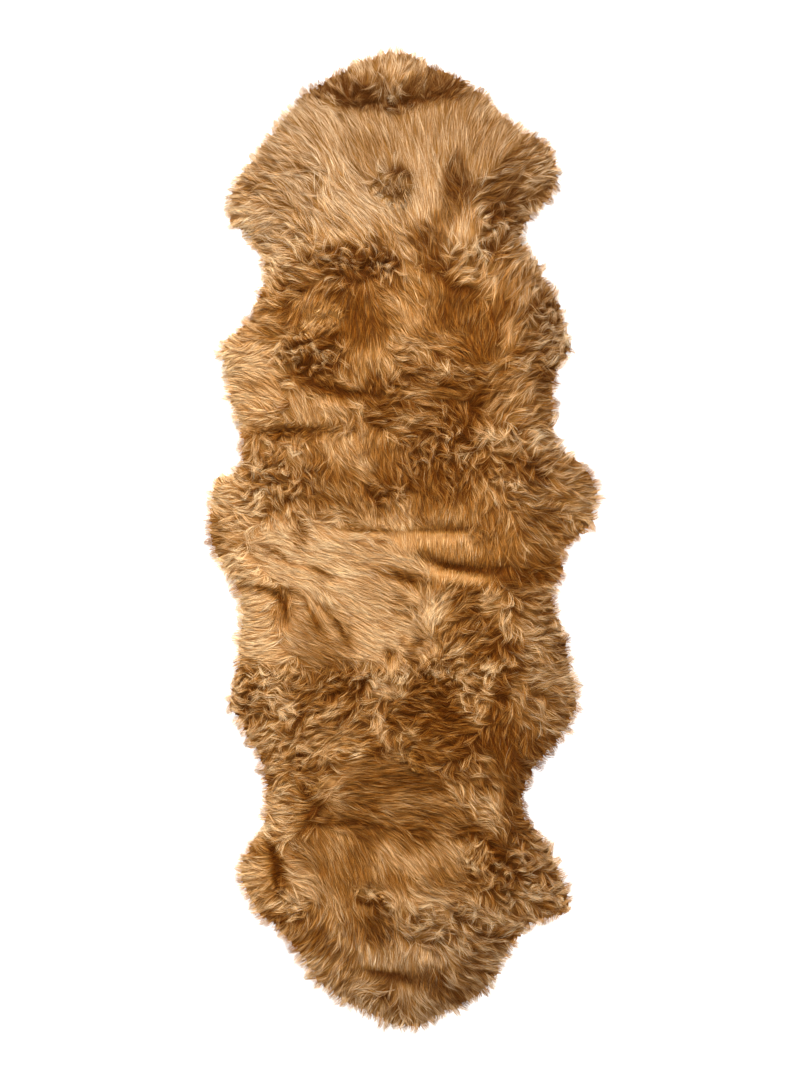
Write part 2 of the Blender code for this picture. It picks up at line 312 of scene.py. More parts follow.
def filledLoop(loop, spacing):
    # a flat net of triangles inside an outline
    (lowX, lowY), (highX, highY) = loop.min(0), loop.max(0)
    rows = []
    for k, y in enumerate(np.arange(lowY, highY, spacing * 0.866)):
        x = np.arange(lowX + spacing * 0.5 * (k % 2), highX, spacing)
        rows.append(np.column_stack([x, np.full(len(x), y)]))
    places = np.vstack(rows)
    places = places[insideLoop(places, loop)]
    gap = np.full(len(places), np.inf)
    for start, end in zip(loop, np.roll(loop, -1, 0)):
        gap = np.minimum(gap, gapTo(places, start, end - start))
    points = np.vstack([loop, places[gap > spacing * 0.45]])
    corners = [Vector(point) for point in points]
    net = geometry.delaunay_2d_cdt(corners, [], [list(range(len(loop)))], 1, 1e-7)
    return np.array(net[0]), [list(face) for face in net[2]]


def closedSheet(name, flat, faces, top, bottom):
    # closes a net with a wall and a flat underside
    count, rim = len(flat), rimOf(faces)
    verts = np.vstack([
        np.column_stack([flat, top]),
        np.column_stack([flat[rim], np.full(len(rim), bottom)]),
    ])
    under = [count + k for k in range(len(rim))]
    walls = []
    for k in range(len(rim)):
        after = (k + 1) % len(rim)
        walls.append([rim[k], under[k], under[after], rim[after]])
    base = geometry.tessellate_polygon([[Vector((*place, 0.0)) for place in flat[rim]]])
    mesh = bpy.data.meshes.new(name)
    floor = [[under[i] for i in face] for face in base]
    mesh.from_pydata(verts.tolist(), [], faces + walls + floor)
    piece = bpy.data.objects.new(name, mesh)
    bpy.context.scene.collection.objects.link(piece)
    faceOutwards(mesh)
    mesh.shade_smooth()
    mesh.set_sharp_from_angle(angle=math.radians(55))
    return piece


def faceOutwards(mesh):
    bm = bmesh.new()
    bm.from_mesh(mesh)
    bmesh.ops.recalc_face_normals(bm, faces=bm.faces[:])
    if bm.calc_volume(signed=True) < 0:
        bmesh.ops.reverse_faces(bm, faces=bm.faces[:])
    bm.to_mesh(mesh)
    bm.free()


# how the wool lies

# What the wool does from place to place, read and typed in: its lie, the rucks and the places of
# painted sheen off enlarged crops of the photo, its tones off crops that were softened and cut into
# nine steps, so that the tones hold the wool's own tone together with painted shade in its hollows
# and partings and painted light on its ridges. It was typed in pixels and is kept here in
# millimetres, with turns in degrees and shares in hundredths. With each column stands how many of
# its steps make one metre, one degree or one whole.


def table(rows, steps):
    counted = np.array(rows, float) / list(steps.values())
    return np.array([tuple(row) for row in counted], [(column, float) for column in steps])


# patches combed one way: middle, half width and half length, the way their tips point, how ruffled
combSteps = {"x": 1000, "y": 1000, "halfWidth": 1000, "halfLength": 1000, "heading": 1, "ruffle": 100}
combPatches = [
    (-13, 854, 109, 46, 90, 25), (-168, 781, 82, 64, 130, 10), (-250, 681, 64, 82, 160, 20),
    (-295, 590, 55, 55, 185, 25), (-186, 617, 91, 73, 140, 30), (-77, 727, 82, 73, 116, 5),
    (51, 745, 82, 73, 96, 5), (160, 745, 64, 73, 68, 5), (252, 681, 46, 55, 15, 30),
    (-40, 581, 91, 55, 125, 10), (69, 599, 55, 55, 95, 10), (215, 590, 46, 55, 10, 40),
    (-241, 481, 73, 46, 140, 50), (-295, 362, 46, 55, 190, 30), (-277, 253, 64, 64, 150, 10),
    (-131, 417, 82, 73, -100, 10), (-113, 253, 109, 55, -70, 30), (-4, 417, 55, 55, -55, 15),
    (106, 398, 82, 64, -90, 20), (197, 435, 55, 91, 75, 20), (270, 380, 46, 73, 20, 60),
    (33, 253, 91, 64, -20, 50), (215, 253, 73, 55, 30, 30), (252, 180, 55, 46, -10, 40),
    (88, 161, 82, 46, -60, 60), (-186, 161, 109, 55, -70, 25), (-95, 107, 109, 46, -60, 30),
    (-295, 70, 64, 64, 165, 40), (-323, -12, 46, 55, 185, 40), (316, 70, 73, 64, 5, 25),
    (288, -12, 55, 46, -30, 30), (179, 70, 73, 55, -80, 30), (33, 61, 91, 36, -85, 30),
    (-150, 34, 91, 36, -20, 40), (-168, -39, 128, 55, -20, 8), (-40, -130, 109, 73, -25, 5),
    (106, -21, 91, 36, -90, 5), (106, -112, 73, 46, -130, 40), (252, -112, 64, 55, -15, 50),
    (-277, -149, 55, 73, 175, 15), (-186, -185, 82, 55, -25, 10), (142, -185, 73, 55, -130, 50),
    (261, -203, 64, 64, -15, 40), (-259, -276, 64, 55, 190, 80), (-131, -295, 91, 46, -140, 50),
    (51, -295, 91, 55, 180, 50), (252, -295, 73, 73, -40, 40), (-150, -395, 109, 55, 190, 40),
    (-4, -459, 128, 64, -5, 15), (197, -404, 55, 64, -60, 40), (160, -495, 64, 46, -45, 40),
    (-222, -477, 55, 55, 180, 40), (-268, -605, 46, 64, 190, 30), (-95, -550, 128, 64, -40, 10),
    (51, -586, 91, 55, -50, 15), (215, -586, 73, 73, -30, 70), (-131, -659, 91, 55, -80, 30),
    (15, -696, 109, 55, -30, 50), (179, -678, 91, 64, -20, 50), (-168, -750, 73, 55, -120, 30),
    (-4, -769, 91, 27, -90, 10), (142, -787, 73, 55, -35, 40), (-95, -842, 64, 46, -110, 30),
    (51, -851, 73, 46, -75, 30), (-104, 807, 40, 16, 150, 90), (-22, 800, 40, 16, 80, 90),
    (51, 843, 47, 22, 60, 20), (97, 818, 40, 16, 40, 50), (-140, 829, 29, 15, 140, 50),
    (-15, 648, 22, 15, -90, 30), (-31, 636, 15, 11, -70, 30), (91, 661, 18, 22, 100, 20),
    (102, 632, 22, 18, 100, 40), (166, 630, 44, 22, 30, 20), (124, 681, 26, 26, 84, 5),
    (55, 603, 16, 36, 97, 5), (117, 577, 22, 36, 84, 5), (13, 559, 29, 16, 140, 30),
    (58, 533, 24, 26, 120, 30), (-66, 532, 24, 13, 150, 50), (-13, 544, 26, 16, 110, 20),
    (-140, 504, 36, 18, 170, 60), (-89, 486, 26, 15, 160, 70), (-36, 501, 18, 15, 40, 100),
    (-213, 544, 44, 15, 150, 40), (-255, 504, 22, 29, 110, 40), (-266, 639, 26, 15, 170, 30),
    (-182, 676, 22, 13, 150, 20), (-126, 577, 22, 11, 140, 10), (-86, 592, 33, 22, 132, 5),
    (175, 570, 26, 33, 20, 90), (150, 526, 33, 18, 40, 70), (-155, 419, 29, 29, -120, 5),
    (-146, 389, 26, 18, 60, 10), (-77, 402, 20, 47, -97, 5), (-5, 435, 29, 15, -40, 20),
    (24, 402, 15, 26, -65, 10), (91, 426, 36, 36, -100, 10), (142, 366, 29, 33, -110, 10),
    (91, 353, 44, 15, 5, 20), (120, 473, 29, 16, 50, 40), (190, 395, 16, 44, 70, 15),
    (233, 468, 26, 18, 85, 30), (266, 395, 26, 26, 30, 90), (261, 322, 33, 18, 0, 70),
    (4, 333, 15, 15, 0, 50), (-67, 326, 44, 16, -92, 10), (69, 322, 33, 13, -30, 50),
    (-168, 335, 44, 26, 150, 100), (-252, 380, 27, 16, 160, 20), (-303, 340, 26, 18, 190, 20),
    (-150, 278, 55, 11, -15, 30), (-277, 274, 47, 29, 148, 5), (-182, 238, 18, 33, -65, 10),
    (-131, 242, 22, 26, -58, 10), (-193, 198, 77, 11, 180, 30), (-13, 234, 36, 22, 20, 40),
    (51, 264, 40, 7, 10, 10), (120, 227, 29, 22, -60, 40), (91, 180, 26, 22, -80, 80),
    (164, 243, 27, 16, 35, 40), (175, 187, 33, 15, -40, 70), (233, 231, 40, 18, 20, 20),
    (-230, 158, 26, 16, -50, 40), (-126, 165, 40, 16, -62, 10), (-91, 140, 22, 18, -60, 15),
    (-40, 152, 26, 26, -90, 10), (-244, 98, 36, 33, 150, 100), (-186, 110, 26, 22, -70, 70),
    (-128, 114, 29, 18, -110, 20), (-77, 114, 26, 18, -40, 10), (-31, 88, 29, 18, -60, 70),
    (-341, 3, 15, 26, 185, 10), (-337, 61, 15, 36, 160, 20), (-222, 30, 22, 16, -75, 30),
    (-5, 87, 9, 7, 0, 90), (-5, 63, 24, 5, -90, 20), (88, 48, 55, 22, -90, 3), (69, 70, 47, 7, -90, 10),
    (142, 16, 18, 7, -90, 50), (212, 125, 29, 29, -40, 60), (191, 98, 16, 9, 30, 70),
    (252, 70, 40, 18, 10, 30), (284, 74, 40, 5, 0, 5), (-131, -17, 73, 18, -12, 5),
    (-77, -67, 55, 22, -22, 3), (-241, -12, 36, 15, -15, 30), (-310, -39, 26, 22, 200, 40),
    (91, -19, 62, 22, -90, 3), (188, -21, 36, 22, -80, 20), (120, -67, 55, 9, -90, 5),
    (-4, -65, 47, 9, -20, 20), (-31, -43, 47, 11, -10, 10), (84, -119, 26, 13, -128, 25),
    (5, -119, 33, 15, -15, 20), (97, -149, 22, 16, -130, 20), (157, -187, 31, 26, -120, 40),
    (124, -212, 26, 15, 180, 40), (153, -123, 36, 16, -160, 40), (230, -145, 26, 15, -35, 30),
    (-219, -134, 13, 26, -90, 5), (-255, -112, 22, 22, -160, 5), (-263, -200, 40, 26, 178, 5),
    (-230, -216, 26, 11, 180, 5), (-164, -194, 44, 33, -20, 3), (-153, -134, 15, 33, -70, 5),
    (-91, -163, 26, 29, -30, 3), (-33, -194, 33, 16, -20, 3), (-18, -222, 9, 15, -80, 5),
    (33, -203, 33, 15, -20, 20), (-49, -251, 80, 9, -100, 90), (-33, -278, 29, 11, -5, 10),
    (55, -236, 40, 11, -120, 90), (142, -236, 55, 9, 170, 90), (-157, -269, 44, 15, -140, 30),
    (-193, -295, 33, 18, -150, 40), (-286, -276, 29, 26, 190, 100), (-146, -324, 40, 9, -130, 60),
    (-190, -344, 26, 9, -140, 60), (-255, -331, 36, 18, 200, 60), (51, -284, 47, 16, 190, 50),
    (40, -309, 33, 15, 175, 40), (97, -338, 40, 15, 172, 20), (139, -298, 18, 18, -130, 50),
    (-42, -342, 9, 26, -75, 30), (-22, -382, 11, 18, -65, 30), (-73, -367, 47, 15, 175, 20),
    (-113, -364, 29, 11, 180, 20), (284, -276, 29, 36, -30, 30), (206, -340, 33, 29, -90, 30),
    (204, -373, 26, 16, -100, 20), (190, -419, 22, 22, -80, 20), (66, -400, 36, 18, 170, 30),
    (109, -422, 29, 15, -40, 50), (-186, -400, 33, 18, 200, 60), (-164, -429, 22, 15, 190, 40),
    (-241, -404, 22, 29, 190, 40), (-135, -459, 33, 15, 35, 20), (-55, -422, 62, 16, 3, 3),
    (-4, -459, 36, 11, 0, 3), (-13, -481, 55, 11, 0, 5), (69, -488, 26, 15, -15, 10),
    (124, -470, 29, 11, -40, 40), (164, -499, 26, 16, -50, 40), (160, -451, 22, 15, -60, 50),
    (208, -521, 16, 20, -100, 20), (193, -546, 18, 16, -90, 30), (-89, -512, 66, 9, -5, 3),
    (51, -521, 47, 13, -10, 10), (-204, -513, 29, 18, 170, 30), (-250, -559, 29, 11, 190, 40),
    (-89, -581, 51, 29, -80, 3), (-131, -564, 26, 22, -60, 3), (-22, -561, 29, 15, -40, 5),
    (18, -590, 16, 29, -60, 3), (47, -568, 26, 15, -50, 5), (78, -606, 26, 16, -60, 5),
    (-31, -626, 33, 15, -70, 5), (-233, -608, 11, 36, 200, 10), (-281, -623, 20, 29, 190, 20),
    (-193, -608, 26, 26, -10, 5), (-186, -650, 33, 15, -20, 20), (-113, -659, 26, 11, -80, 10),
    (-104, -632, 22, 11, -80, 5), (197, -601, 33, 26, -20, 80), (153, -590, 26, 26, -70, 70),
    (243, -561, 26, 26, -40, 50), (274, -623, 22, 29, -30, 50), (33, -652, 47, 13, -25, 10),
    (-58, -656, 26, 9, 100, 60), (-42, -699, 16, 33, -70, 20), (-4, -681, 11, 29, -80, 40),
    (11, -710, 16, 15, -20, 50), (-77, -699, 11, 29, -90, 10), (-100, -714, 11, 29, -82, 10),
    (-164, -721, 22, 16, -120, 10), (-128, -754, 26, 13, -130, 10), (-193, -681, 22, 18, -140, 60),
    (-153, -687, 22, 18, -100, 20), (51, -721, 40, 9, -15, 50), (97, -705, 29, 11, -10, 50),
    (142, -714, 40, 15, -20, 50), (215, -668, 33, 18, -20, 60), (279, -674, 22, 18, -30, 40),
    (-35, -772, 55, 9, -90, 5), (69, -772, 36, 9, -80, 10), (-55, -800, 44, 11, -100, 5),
    (24, -805, 33, 13, -90, 10), (51, -812, 18, 13, -80, 10), (98, -834, 22, 9, -60, 10),
    (128, -809, 26, 11, -30, 30), (-67, -823, 26, 16, 160, 20), (-95, -853, 26, 11, -140, 20),
    (-29, -867, 13, 16, -100, 10), (18, -842, 15, 22, -70, 10), (55, -864, 29, 15, -50, 30),
    (160, -760, 29, 18, -30, 30),
]

# pale and dark patches, which hold the wool's own tone and also painted shade in hollows and
# painted light on ridges: middle, half width and half length, how far turned, how pale
toneSteps = {"x": 1000, "y": 1000, "halfWidth": 1000, "halfLength": 1000, "turn": 1, "tone": 100}
tonePatches = [
    (-13, 876, 109, 29, 0, 12), (-186, 745, 109, 73, 0, 43), (-4, 754, 109, 55, 0, 35),
    (160, 745, 73, 55, 0, 23), (252, 699, 46, 55, 0, 7), (-241, 617, 109, 73, 0, 45),
    (-95, 636, 91, 73, 0, 56), (33, 636, 36, 73, 0, 49), (-295, 563, 55, 46, 0, 60),
    (-113, 563, 109, 36, 0, 49), (124, 709, 55, 36, 0, 29), (-129, 831, 36, 13, 25, -49),
    (-182, 809, 20, 5, 10, -17), (-95, 807, 18, 16, 0, -44), (-58, 833, 29, 15, 15, -33),
    (-49, 812, 18, 15, 0, -31), (-67, 791, 29, 11, 0, -28), (-36, 787, 15, 9, 0, -20),
    (-77, 864, 26, 15, 20, 3), (-15, 851, 13, 13, 0, 36), (9, 854, 11, 9, 30, 36), (-15, 807, 7, 13, 0, 33),
    (27, 874, 13, 7, -15, -15), (62, 829, 29, 27, 0, -57), (62, 840, 16, 22, 0, -73),
    (88, 818, 26, 15, -10, -49), (24, 814, 18, 16, 30, -39), (9, 803, 11, 7, 0, -49),
    (120, 812, 16, 9, -20, -17), (-13, 785, 44, 9, 0, -7), (142, 772, 36, 15, -20, 7),
    (166, 760, 18, 11, 0, -1), (-201, 756, 22, 9, 0, 15), (-162, 749, 15, 15, 0, 23),
    (-95, 719, 18, 15, 45, 9), (-53, 723, 18, 13, 20, 4), (-67, 694, 26, 29, 0, 23),
    (-204, 732, 16, 7, 0, 56), (-241, 683, 15, 9, -10, 4), (-186, 676, 16, 9, 0, -4),
    (-272, 637, 15, 11, 0, -12), (-295, 632, 15, 13, 0, 23), (-217, 626, 26, 15, 0, 15),
    (-228, 608, 13, 16, 0, 9), (-175, 599, 13, 16, 20, 1), (-122, 577, 22, 13, -5, 1),
    (-7, 665, 11, 13, 0, -17), (-29, 636, 15, 11, -30, -36), (-7, 628, 15, 13, 0, -49),
    (9, 650, 7, 15, 0, -12), (33, 645, 16, 47, 0, 59), (31, 603, 13, 16, 0, 73), (62, 690, 13, 9, 0, 57),
    (100, 681, 13, 22, 0, -39), (97, 647, 18, 26, 0, -57), (97, 603, 15, 15, 30, -49),
    (84, 584, 22, 11, 20, -31), (66, 577, 15, 9, 0, -15), (139, 676, 11, 22, 0, 36),
    (128, 626, 40, 15, 0, -39), (206, 672, 18, 22, 0, -44), (226, 681, 18, 26, 0, -20),
    (188, 617, 29, 26, 0, -68), (215, 603, 22, 26, -20, -49), (179, 566, 36, 29, 0, -28),
    (188, 541, 33, 22, 0, -17), (252, 639, 29, 11, 10, -12), (261, 690, 22, 29, 0, 4),
    (241, 608, 15, 18, 0, -4), (109, 559, 22, 36, 0, 49), (111, 548, 15, 22, 0, 65), (142, 577, 9, 22, 0, 36),
    (-11, 548, 16, 11, 0, 15), (-31, 552, 22, 18, 0, 4), (-241, 552, 29, 9, 0, 25),
    (-268, 481, 36, 55, 0, 47), (-295, 344, 55, 55, 0, 60), (-314, 253, 55, 73, 0, 71),
    (-241, 262, 46, 64, 0, 44), (-131, 453, 91, 55, 0, -39), (-131, 362, 73, 46, 0, -36),
    (-4, 435, 46, 46, 0, 4), (106, 417, 73, 73, 0, -52), (252, 471, 46, 55, 0, -1),
    (252, 362, 55, 73, 0, -17), (233, 253, 55, 55, 0, 12), (-4, 271, 109, 46, 0, -41),
    (-131, 234, 73, 27, 0, 20), (106, 253, 73, 46, 0, -44), (142, 508, 46, 36, 0, 23),
    (-213, 512, 15, 11, 0, 63), (-186, 475, 18, 9, -20, -12), (-190, 439, 9, 7, 0, 39),
    (-263, 413, 18, 9, 30, -12), (-250, 373, 15, 15, 0, -20), (-213, 366, 13, 7, 0, 31),
    (-199, 380, 18, 22, 0, -33), (-168, 384, 11, 11, 0, 28), (-140, 388, 9, 9, 0, 9),
    (-140, 413, 29, 26, 0, -17), (-164, 435, 18, 15, 0, -33), (-98, 512, 29, 18, 0, -49),
    (-82, 491, 9, 11, 0, -71), (-95, 482, 22, 13, 0, -52), (-126, 493, 13, 13, 0, -49),
    (-164, 488, 26, 9, -35, 20), (-139, 512, 7, 7, 0, 7), (-62, 517, 7, 13, -20, 9),
    (-46, 521, 16, 18, 0, -52), (-69, 471, 11, 11, 0, 1), (-18, 504, 22, 18, 0, -20), (-26, 497, 13, 7, 0, 4),
    (-13, 466, 18, 15, 0, -49), (15, 512, 9, 15, -10, 33), (22, 475, 13, 26, 0, 17),
    (-104, 442, 36, 11, 0, -73), (-91, 426, 15, 22, 0, -73), (-77, 398, 26, 22, 0, -71),
    (-100, 371, 40, 15, 10, -71), (-58, 420, 15, 11, 0, -28), (-49, 380, 22, 26, 0, -47),
    (5, 426, 31, 16, 0, 39), (18, 406, 15, 18, 0, 33), (47, 457, 26, 29, 0, -20), (36, 544, 26, 27, 0, -57),
    (51, 512, 16, 22, 0, -65), (82, 475, 9, 16, 0, -55), (119, 481, 16, 15, 0, 55), (102, 486, 11, 11, 0, 36),
    (151, 462, 18, 16, 30, 39), (155, 448, 15, 15, 0, 17), (102, 439, 29, 18, 0, -75),
    (97, 408, 29, 29, 0, -77), (139, 380, 33, 22, 0, -71), (146, 351, 33, 26, 0, -75),
    (166, 398, 15, 22, 0, -68), (109, 373, 22, 9, 0, -44), (57, 377, 26, 15, 0, -36),
    (78, 360, 16, 13, -30, 17), (9, 353, 15, 11, 0, 39), (35, 336, 9, 11, 0, 57), (-4, 344, 40, 22, 0, 20),
    (-22, 318, 29, 16, 0, 25), (-27, 315, 11, 13, 0, 41), (9, 322, 9, 9, 0, -15), (-62, 329, 18, 9, 0, 20),
    (78, 311, 13, 11, 0, 15), (47, 307, 11, 9, 0, -49), (186, 508, 11, 18, 0, -49), (202, 499, 7, 5, 0, 28),
    (206, 477, 33, 9, -10, -39), (170, 535, 26, 18, 0, -17), (133, 504, 18, 15, 0, 7),
    (243, 504, 18, 15, 0, 20), (212, 450, 18, 18, 0, 12), (261, 431, 18, 18, 0, -47),
    (252, 408, 36, 15, 0, -33), (179, 424, 18, 13, 0, -47), (201, 371, 13, 22, 25, 36),
    (188, 344, 15, 15, 0, 9), (224, 380, 15, 15, 0, -15), (248, 371, 15, 15, 0, 9),
    (288, 353, 18, 15, 0, -12), (230, 340, 26, 15, 0, -31), (224, 315, 24, 15, 0, 23),
    (261, 293, 18, 18, 0, -52), (193, 293, 18, 9, 0, -39), (175, 298, 18, 18, 0, -17),
    (215, 262, 33, 15, 0, 31), (201, 249, 18, 11, 0, 23), (261, 262, 15, 26, 0, -9),
    (212, 214, 26, 11, 0, 41), (248, 212, 15, 7, 0, -12), (160, 236, 13, 11, 0, 47),
    (-181, 344, 22, 9, 0, -20), (-186, 358, 15, 9, 0, -47), (-140, 322, 26, 18, 0, -49),
    (-104, 344, 11, 11, 0, -12), (-131, 298, 29, 7, 0, -23), (-195, 311, 15, 15, 0, -17),
    (-159, 280, 26, 13, -25, -60), (-131, 269, 26, 11, -10, -76), (-104, 262, 26, 11, 0, -55),
    (-95, 285, 15, 11, -30, 7), (-75, 295, 9, 13, 0, 7), (-40, 274, 18, 18, 0, -65),
    (-44, 243, 18, 26, 0, -73), (-11, 267, 15, 15, 0, -52), (33, 262, 29, 9, 20, 4),
    (29, 285, 36, 15, 0, -36), (115, 274, 22, 15, 0, -63), (139, 260, 18, 22, 0, -73),
    (100, 225, 26, 26, 0, -73), (24, 220, 26, 11, 0, 4), (51, 216, 18, 7, 0, -4), (-13, 231, 15, 18, 0, -49),
    (-142, 240, 13, 13, 0, 60), (-113, 234, 15, 13, 0, 36), (-84, 238, 11, 11, 0, 12),
    (-182, 231, 9, 22, 25, 52), (-274, 280, 16, 11, 0, 4), (-217, 293, 11, 9, 0, 1),
    (-274, 316, 16, 13, 0, 79), (-237, 318, 15, 9, 0, 76), (-294, 353, 7, 26, 0, 23),
    (-259, 180, 46, 46, 0, 17), (-305, 88, 46, 36, 0, 47), (-150, 198, 73, 36, 0, 4),
    (-186, 88, 73, 46, 0, -12), (-332, 34, 33, 36, 0, 52), (-259, -21, 91, 64, 0, 68),
    (-131, -39, 109, 55, 0, 71), (-40, -3, 73, 46, 0, 49), (-4, 125, 73, 46, 0, -36),
    (69, 107, 73, 55, 0, -55), (-58, 70, 55, 36, 0, -20), (179, 180, 55, 27, 0, 15),
    (252, 107, 55, 55, 0, -20), (316, 70, 55, 64, 0, 9), (288, 180, 36, 27, 0, 28), (106, 34, 73, 27, 0, -9),
    (215, 16, 46, 55, 0, -17), (-4, -112, 73, 46, 0, 41), (142, -57, 91, 27, 0, -39),
    (233, -94, 46, 36, 0, -20), (-277, -112, 73, 36, 0, 63), (-150, -121, 36, 26, 0, 36),
    (-215, 191, 33, 13, 0, -41), (-164, 191, 15, 9, 0, -36), (-182, 165, 22, 22, 0, -15),
    (-235, 132, 26, 22, 0, -23), (-210, 156, 22, 9, -50, 65), (-190, 140, 15, 9, -20, 39),
    (-122, 171, 36, 13, 8, 33), (-119, 147, 11, 9, 0, 41), (-86, 129, 26, 22, 0, 23),
    (-73, 136, 9, 11, 0, 44), (-153, 132, 22, 33, 0, -57), (-140, 107, 26, 15, 0, -49),
    (-104, 110, 15, 11, 0, -36), (-213, 107, 15, 9, 0, -31), (-186, 98, 15, 9, 0, 7),
    (-217, 88, 11, 9, 0, 20), (-263, 72, 11, 11, 0, 52), (-286, 88, 22, 22, 0, 23), (-213, 68, 16, 7, 0, -39),
    (-153, 72, 24, 11, 0, -55), (-113, 70, 29, 9, 0, -28), (-274, 52, 15, 15, -30, -1),
    (-222, 48, 36, 15, 0, 7), (-122, 52, 29, 9, 0, 23), (-67, 158, 11, 9, 0, -33), (-31, 147, 15, 15, 0, -44),
    (-29, 99, 20, 16, 0, -65), (-31, 56, 15, 13, 0, -47), (0, 68, 20, 11, 20, 12), (9, 63, 9, 9, 0, 31),
    (-13, 185, 16, 13, 0, 23), (-46, 180, 11, 15, 0, 4), (33, 152, 36, 29, 0, -52),
    (51, 114, 27, 15, 15, -79), (82, 134, 15, 11, 30, -71), (97, 207, 26, 27, 0, -73),
    (106, 171, 11, 15, 0, -52), (51, 189, 36, 22, 0, -39), (106, 152, 18, 7, 15, -15),
    (78, 74, 26, 11, 0, -73), (36, 56, 13, 18, 0, -52), (124, 57, 22, 11, -10, -41),
    (102, 41, 26, 13, -10, 1), (106, 21, 26, 9, 0, -47), (157, 12, 22, 26, 0, -39), (142, 16, 11, 7, 0, 12),
    (179, 191, 16, 7, 10, 52), (155, 194, 22, 11, 0, 25), (212, 198, 15, 9, 20, -23),
    (197, 161, 29, 11, 20, 36), (252, 183, 18, 22, 0, 41), (170, 134, 13, 11, 0, 4),
    (201, 129, 22, 16, 0, -49), (233, 119, 15, 16, 30, -68), (257, 96, 13, 13, 0, -52),
    (197, 92, 16, 11, 0, 44), (160, 88, 22, 15, 0, 1), (261, 134, 22, 15, 0, -31), (297, 125, 22, 18, 0, 15),
    (334, 98, 22, 22, 0, 4), (288, 74, 15, 7, 0, -20), (252, 67, 15, 9, 0, 23), (270, 56, 15, 9, 0, -44),
    (239, 39, 16, 13, 20, -52), (279, 23, 18, 13, 20, -41), (303, 48, 22, 11, 0, 20),
    (343, 48, 18, 26, 0, 23), (314, 5, 18, 9, 30, -20), (228, -12, 9, 9, 0, 23), (266, -12, 15, 15, 0, -1),
    (60, -19, 33, 9, -15, 9), (44, -26, 16, 9, -20, -28), (78, 1, 51, 7, 0, 47), (15, -5, 36, 13, 0, 55),
    (-77, 6, 36, 7, 0, 76), (-186, 5, 11, 26, 0, -4), (-337, 6, 20, 31, 0, -39), (-305, -14, 15, 11, 0, 23),
    (-226, -36, 36, 5, -32, 39), (-150, -63, 26, 9, -32, 23), (-237, -70, 9, 13, 30, 25),
    (-290, -50, 11, 11, 30, 33), (-58, -50, 29, 7, -5, 28), (-31, -61, 26, 9, -25, -4),
    (2, -70, 22, 9, -25, -33), (46, -83, 26, 9, -15, -20), (42, -48, 22, 11, -5, 76), (-4, -36, 15, 7, 0, 73),
    (106, -28, 46, 11, 0, 1), (46, -36, 18, 5, -25, -49), (97, -50, 55, 7, -12, -60),
    (106, -70, 42, 9, -3, 81), (184, -70, 26, 13, 0, -73), (233, -63, 26, 15, 10, -76),
    (252, -39, 18, 18, 0, -55), (215, -90, 26, 13, 0, -52), (197, -98, 9, 7, 0, 20), (160, -90, 15, 9, 0, -4),
    (119, -119, 16, 22, 0, -60), (270, -90, 15, 9, 0, 20), (219, -132, 13, 9, 0, -41),
    (261, -121, 11, 22, 0, -9), (170, -119, 22, 16, 0, 41), (-295, -90, 9, 9, 0, 4),
    (-255, -92, 16, 7, -10, -1), (-230, -103, 18, 9, -40, -12), (-217, -125, 9, 22, 0, -33),
    (-177, -114, 22, 11, -30, 23), (-146, -123, 18, 9, 0, 12), (-2, -103, 9, 9, 0, 4),
    (4, -129, 22, 13, -20, 12), (51, -98, 18, 15, 0, 25), (-49, -87, 22, 9, 0, 33), (51, -140, 18, 18, 0, 73),
    (-277, -167, 73, 55, 0, 68), (-222, -212, 55, 27, 0, 73), (-58, -167, 55, 46, 0, 68),
    (-131, -185, 64, 46, 0, -1), (124, -185, 73, 36, 0, -57), (252, -149, 46, 46, 0, 7),
    (-277, -276, 46, 46, 0, 7), (-241, -349, 36, 55, 0, 28), (-131, -276, 73, 36, 0, -41),
    (-150, -377, 55, 36, 0, 12), (69, -331, 109, 73, 0, -81), (179, -404, 73, 73, 0, -79),
    (270, -295, 46, 55, 0, 1), (-4, -440, 109, 36, 0, -55), (-168, -431, 46, 27, 0, -47),
    (-131, -459, 36, 22, 0, 17), (-259, -440, 27, 36, 0, 1), (142, -440, 36, 27, 0, -31),
    (252, -222, 55, 36, 0, -1), (-221, -145, 11, 18, 0, -33), (-213, -171, 22, 11, -20, 36),
    (-160, -165, 11, 18, 20, -20), (-146, -181, 22, 15, 0, -15), (-124, -171, 9, 11, 30, 52),
    (-100, -185, 11, 29, 0, 1), (-150, -194, 9, 7, 0, 23), (-171, -203, 22, 18, 0, 4),
    (-159, -218, 33, 15, 0, -25), (-128, -233, 29, 15, 0, -44), (-100, -236, 18, 11, -20, -31),
    (-73, -243, 15, 11, 0, -1), (-186, -231, 18, 15, 0, 12), (-250, -258, 29, 11, 0, 9),
    (-277, -231, 18, 13, 0, 25), (-286, -280, 16, 13, 0, -20), (-244, -273, 18, 11, 0, 25),
    (-213, -295, 18, 18, 0, 44), (-272, -305, 16, 22, 20, -39), (-253, -346, 11, 7, 0, -4),
    (-230, -367, 13, 29, 0, 41), (-244, -395, 7, 15, 0, -23), (-244, -431, 7, 15, 0, -25),
    (-226, -422, 11, 22, 0, 25), (-186, -276, 26, 15, 0, -36), (-164, -305, 20, 16, 30, -60),
    (-104, -273, 26, 15, 0, -57), (-140, -322, 33, 7, 28, 33), (-104, -305, 26, 7, 20, 20),
    (-164, -336, 11, 11, 40, 36), (-140, -344, 16, 7, 0, -47), (-188, -353, 22, 13, 20, -39),
    (-95, -327, 26, 15, 0, -33), (-44, -243, 18, 13, 0, 44), (-2, -243, 16, 13, 0, 52),
    (-20, -214, 7, 13, 30, -23), (-40, -278, 22, 13, 0, 71), (-13, -280, 15, 9, 0, 39),
    (-55, -316, 11, 22, 0, 1), (-44, -346, 9, 26, 15, 55), (-95, -389, 18, 16, 0, 23),
    (-137, -386, 16, 18, 0, 36), (-104, -367, 15, 11, 0, -15), (5, -358, 22, 15, 0, 1),
    (-11, -305, 22, 16, 0, -52), (51, -207, 15, 15, 0, 49), (66, -171, 22, 9, 20, -12),
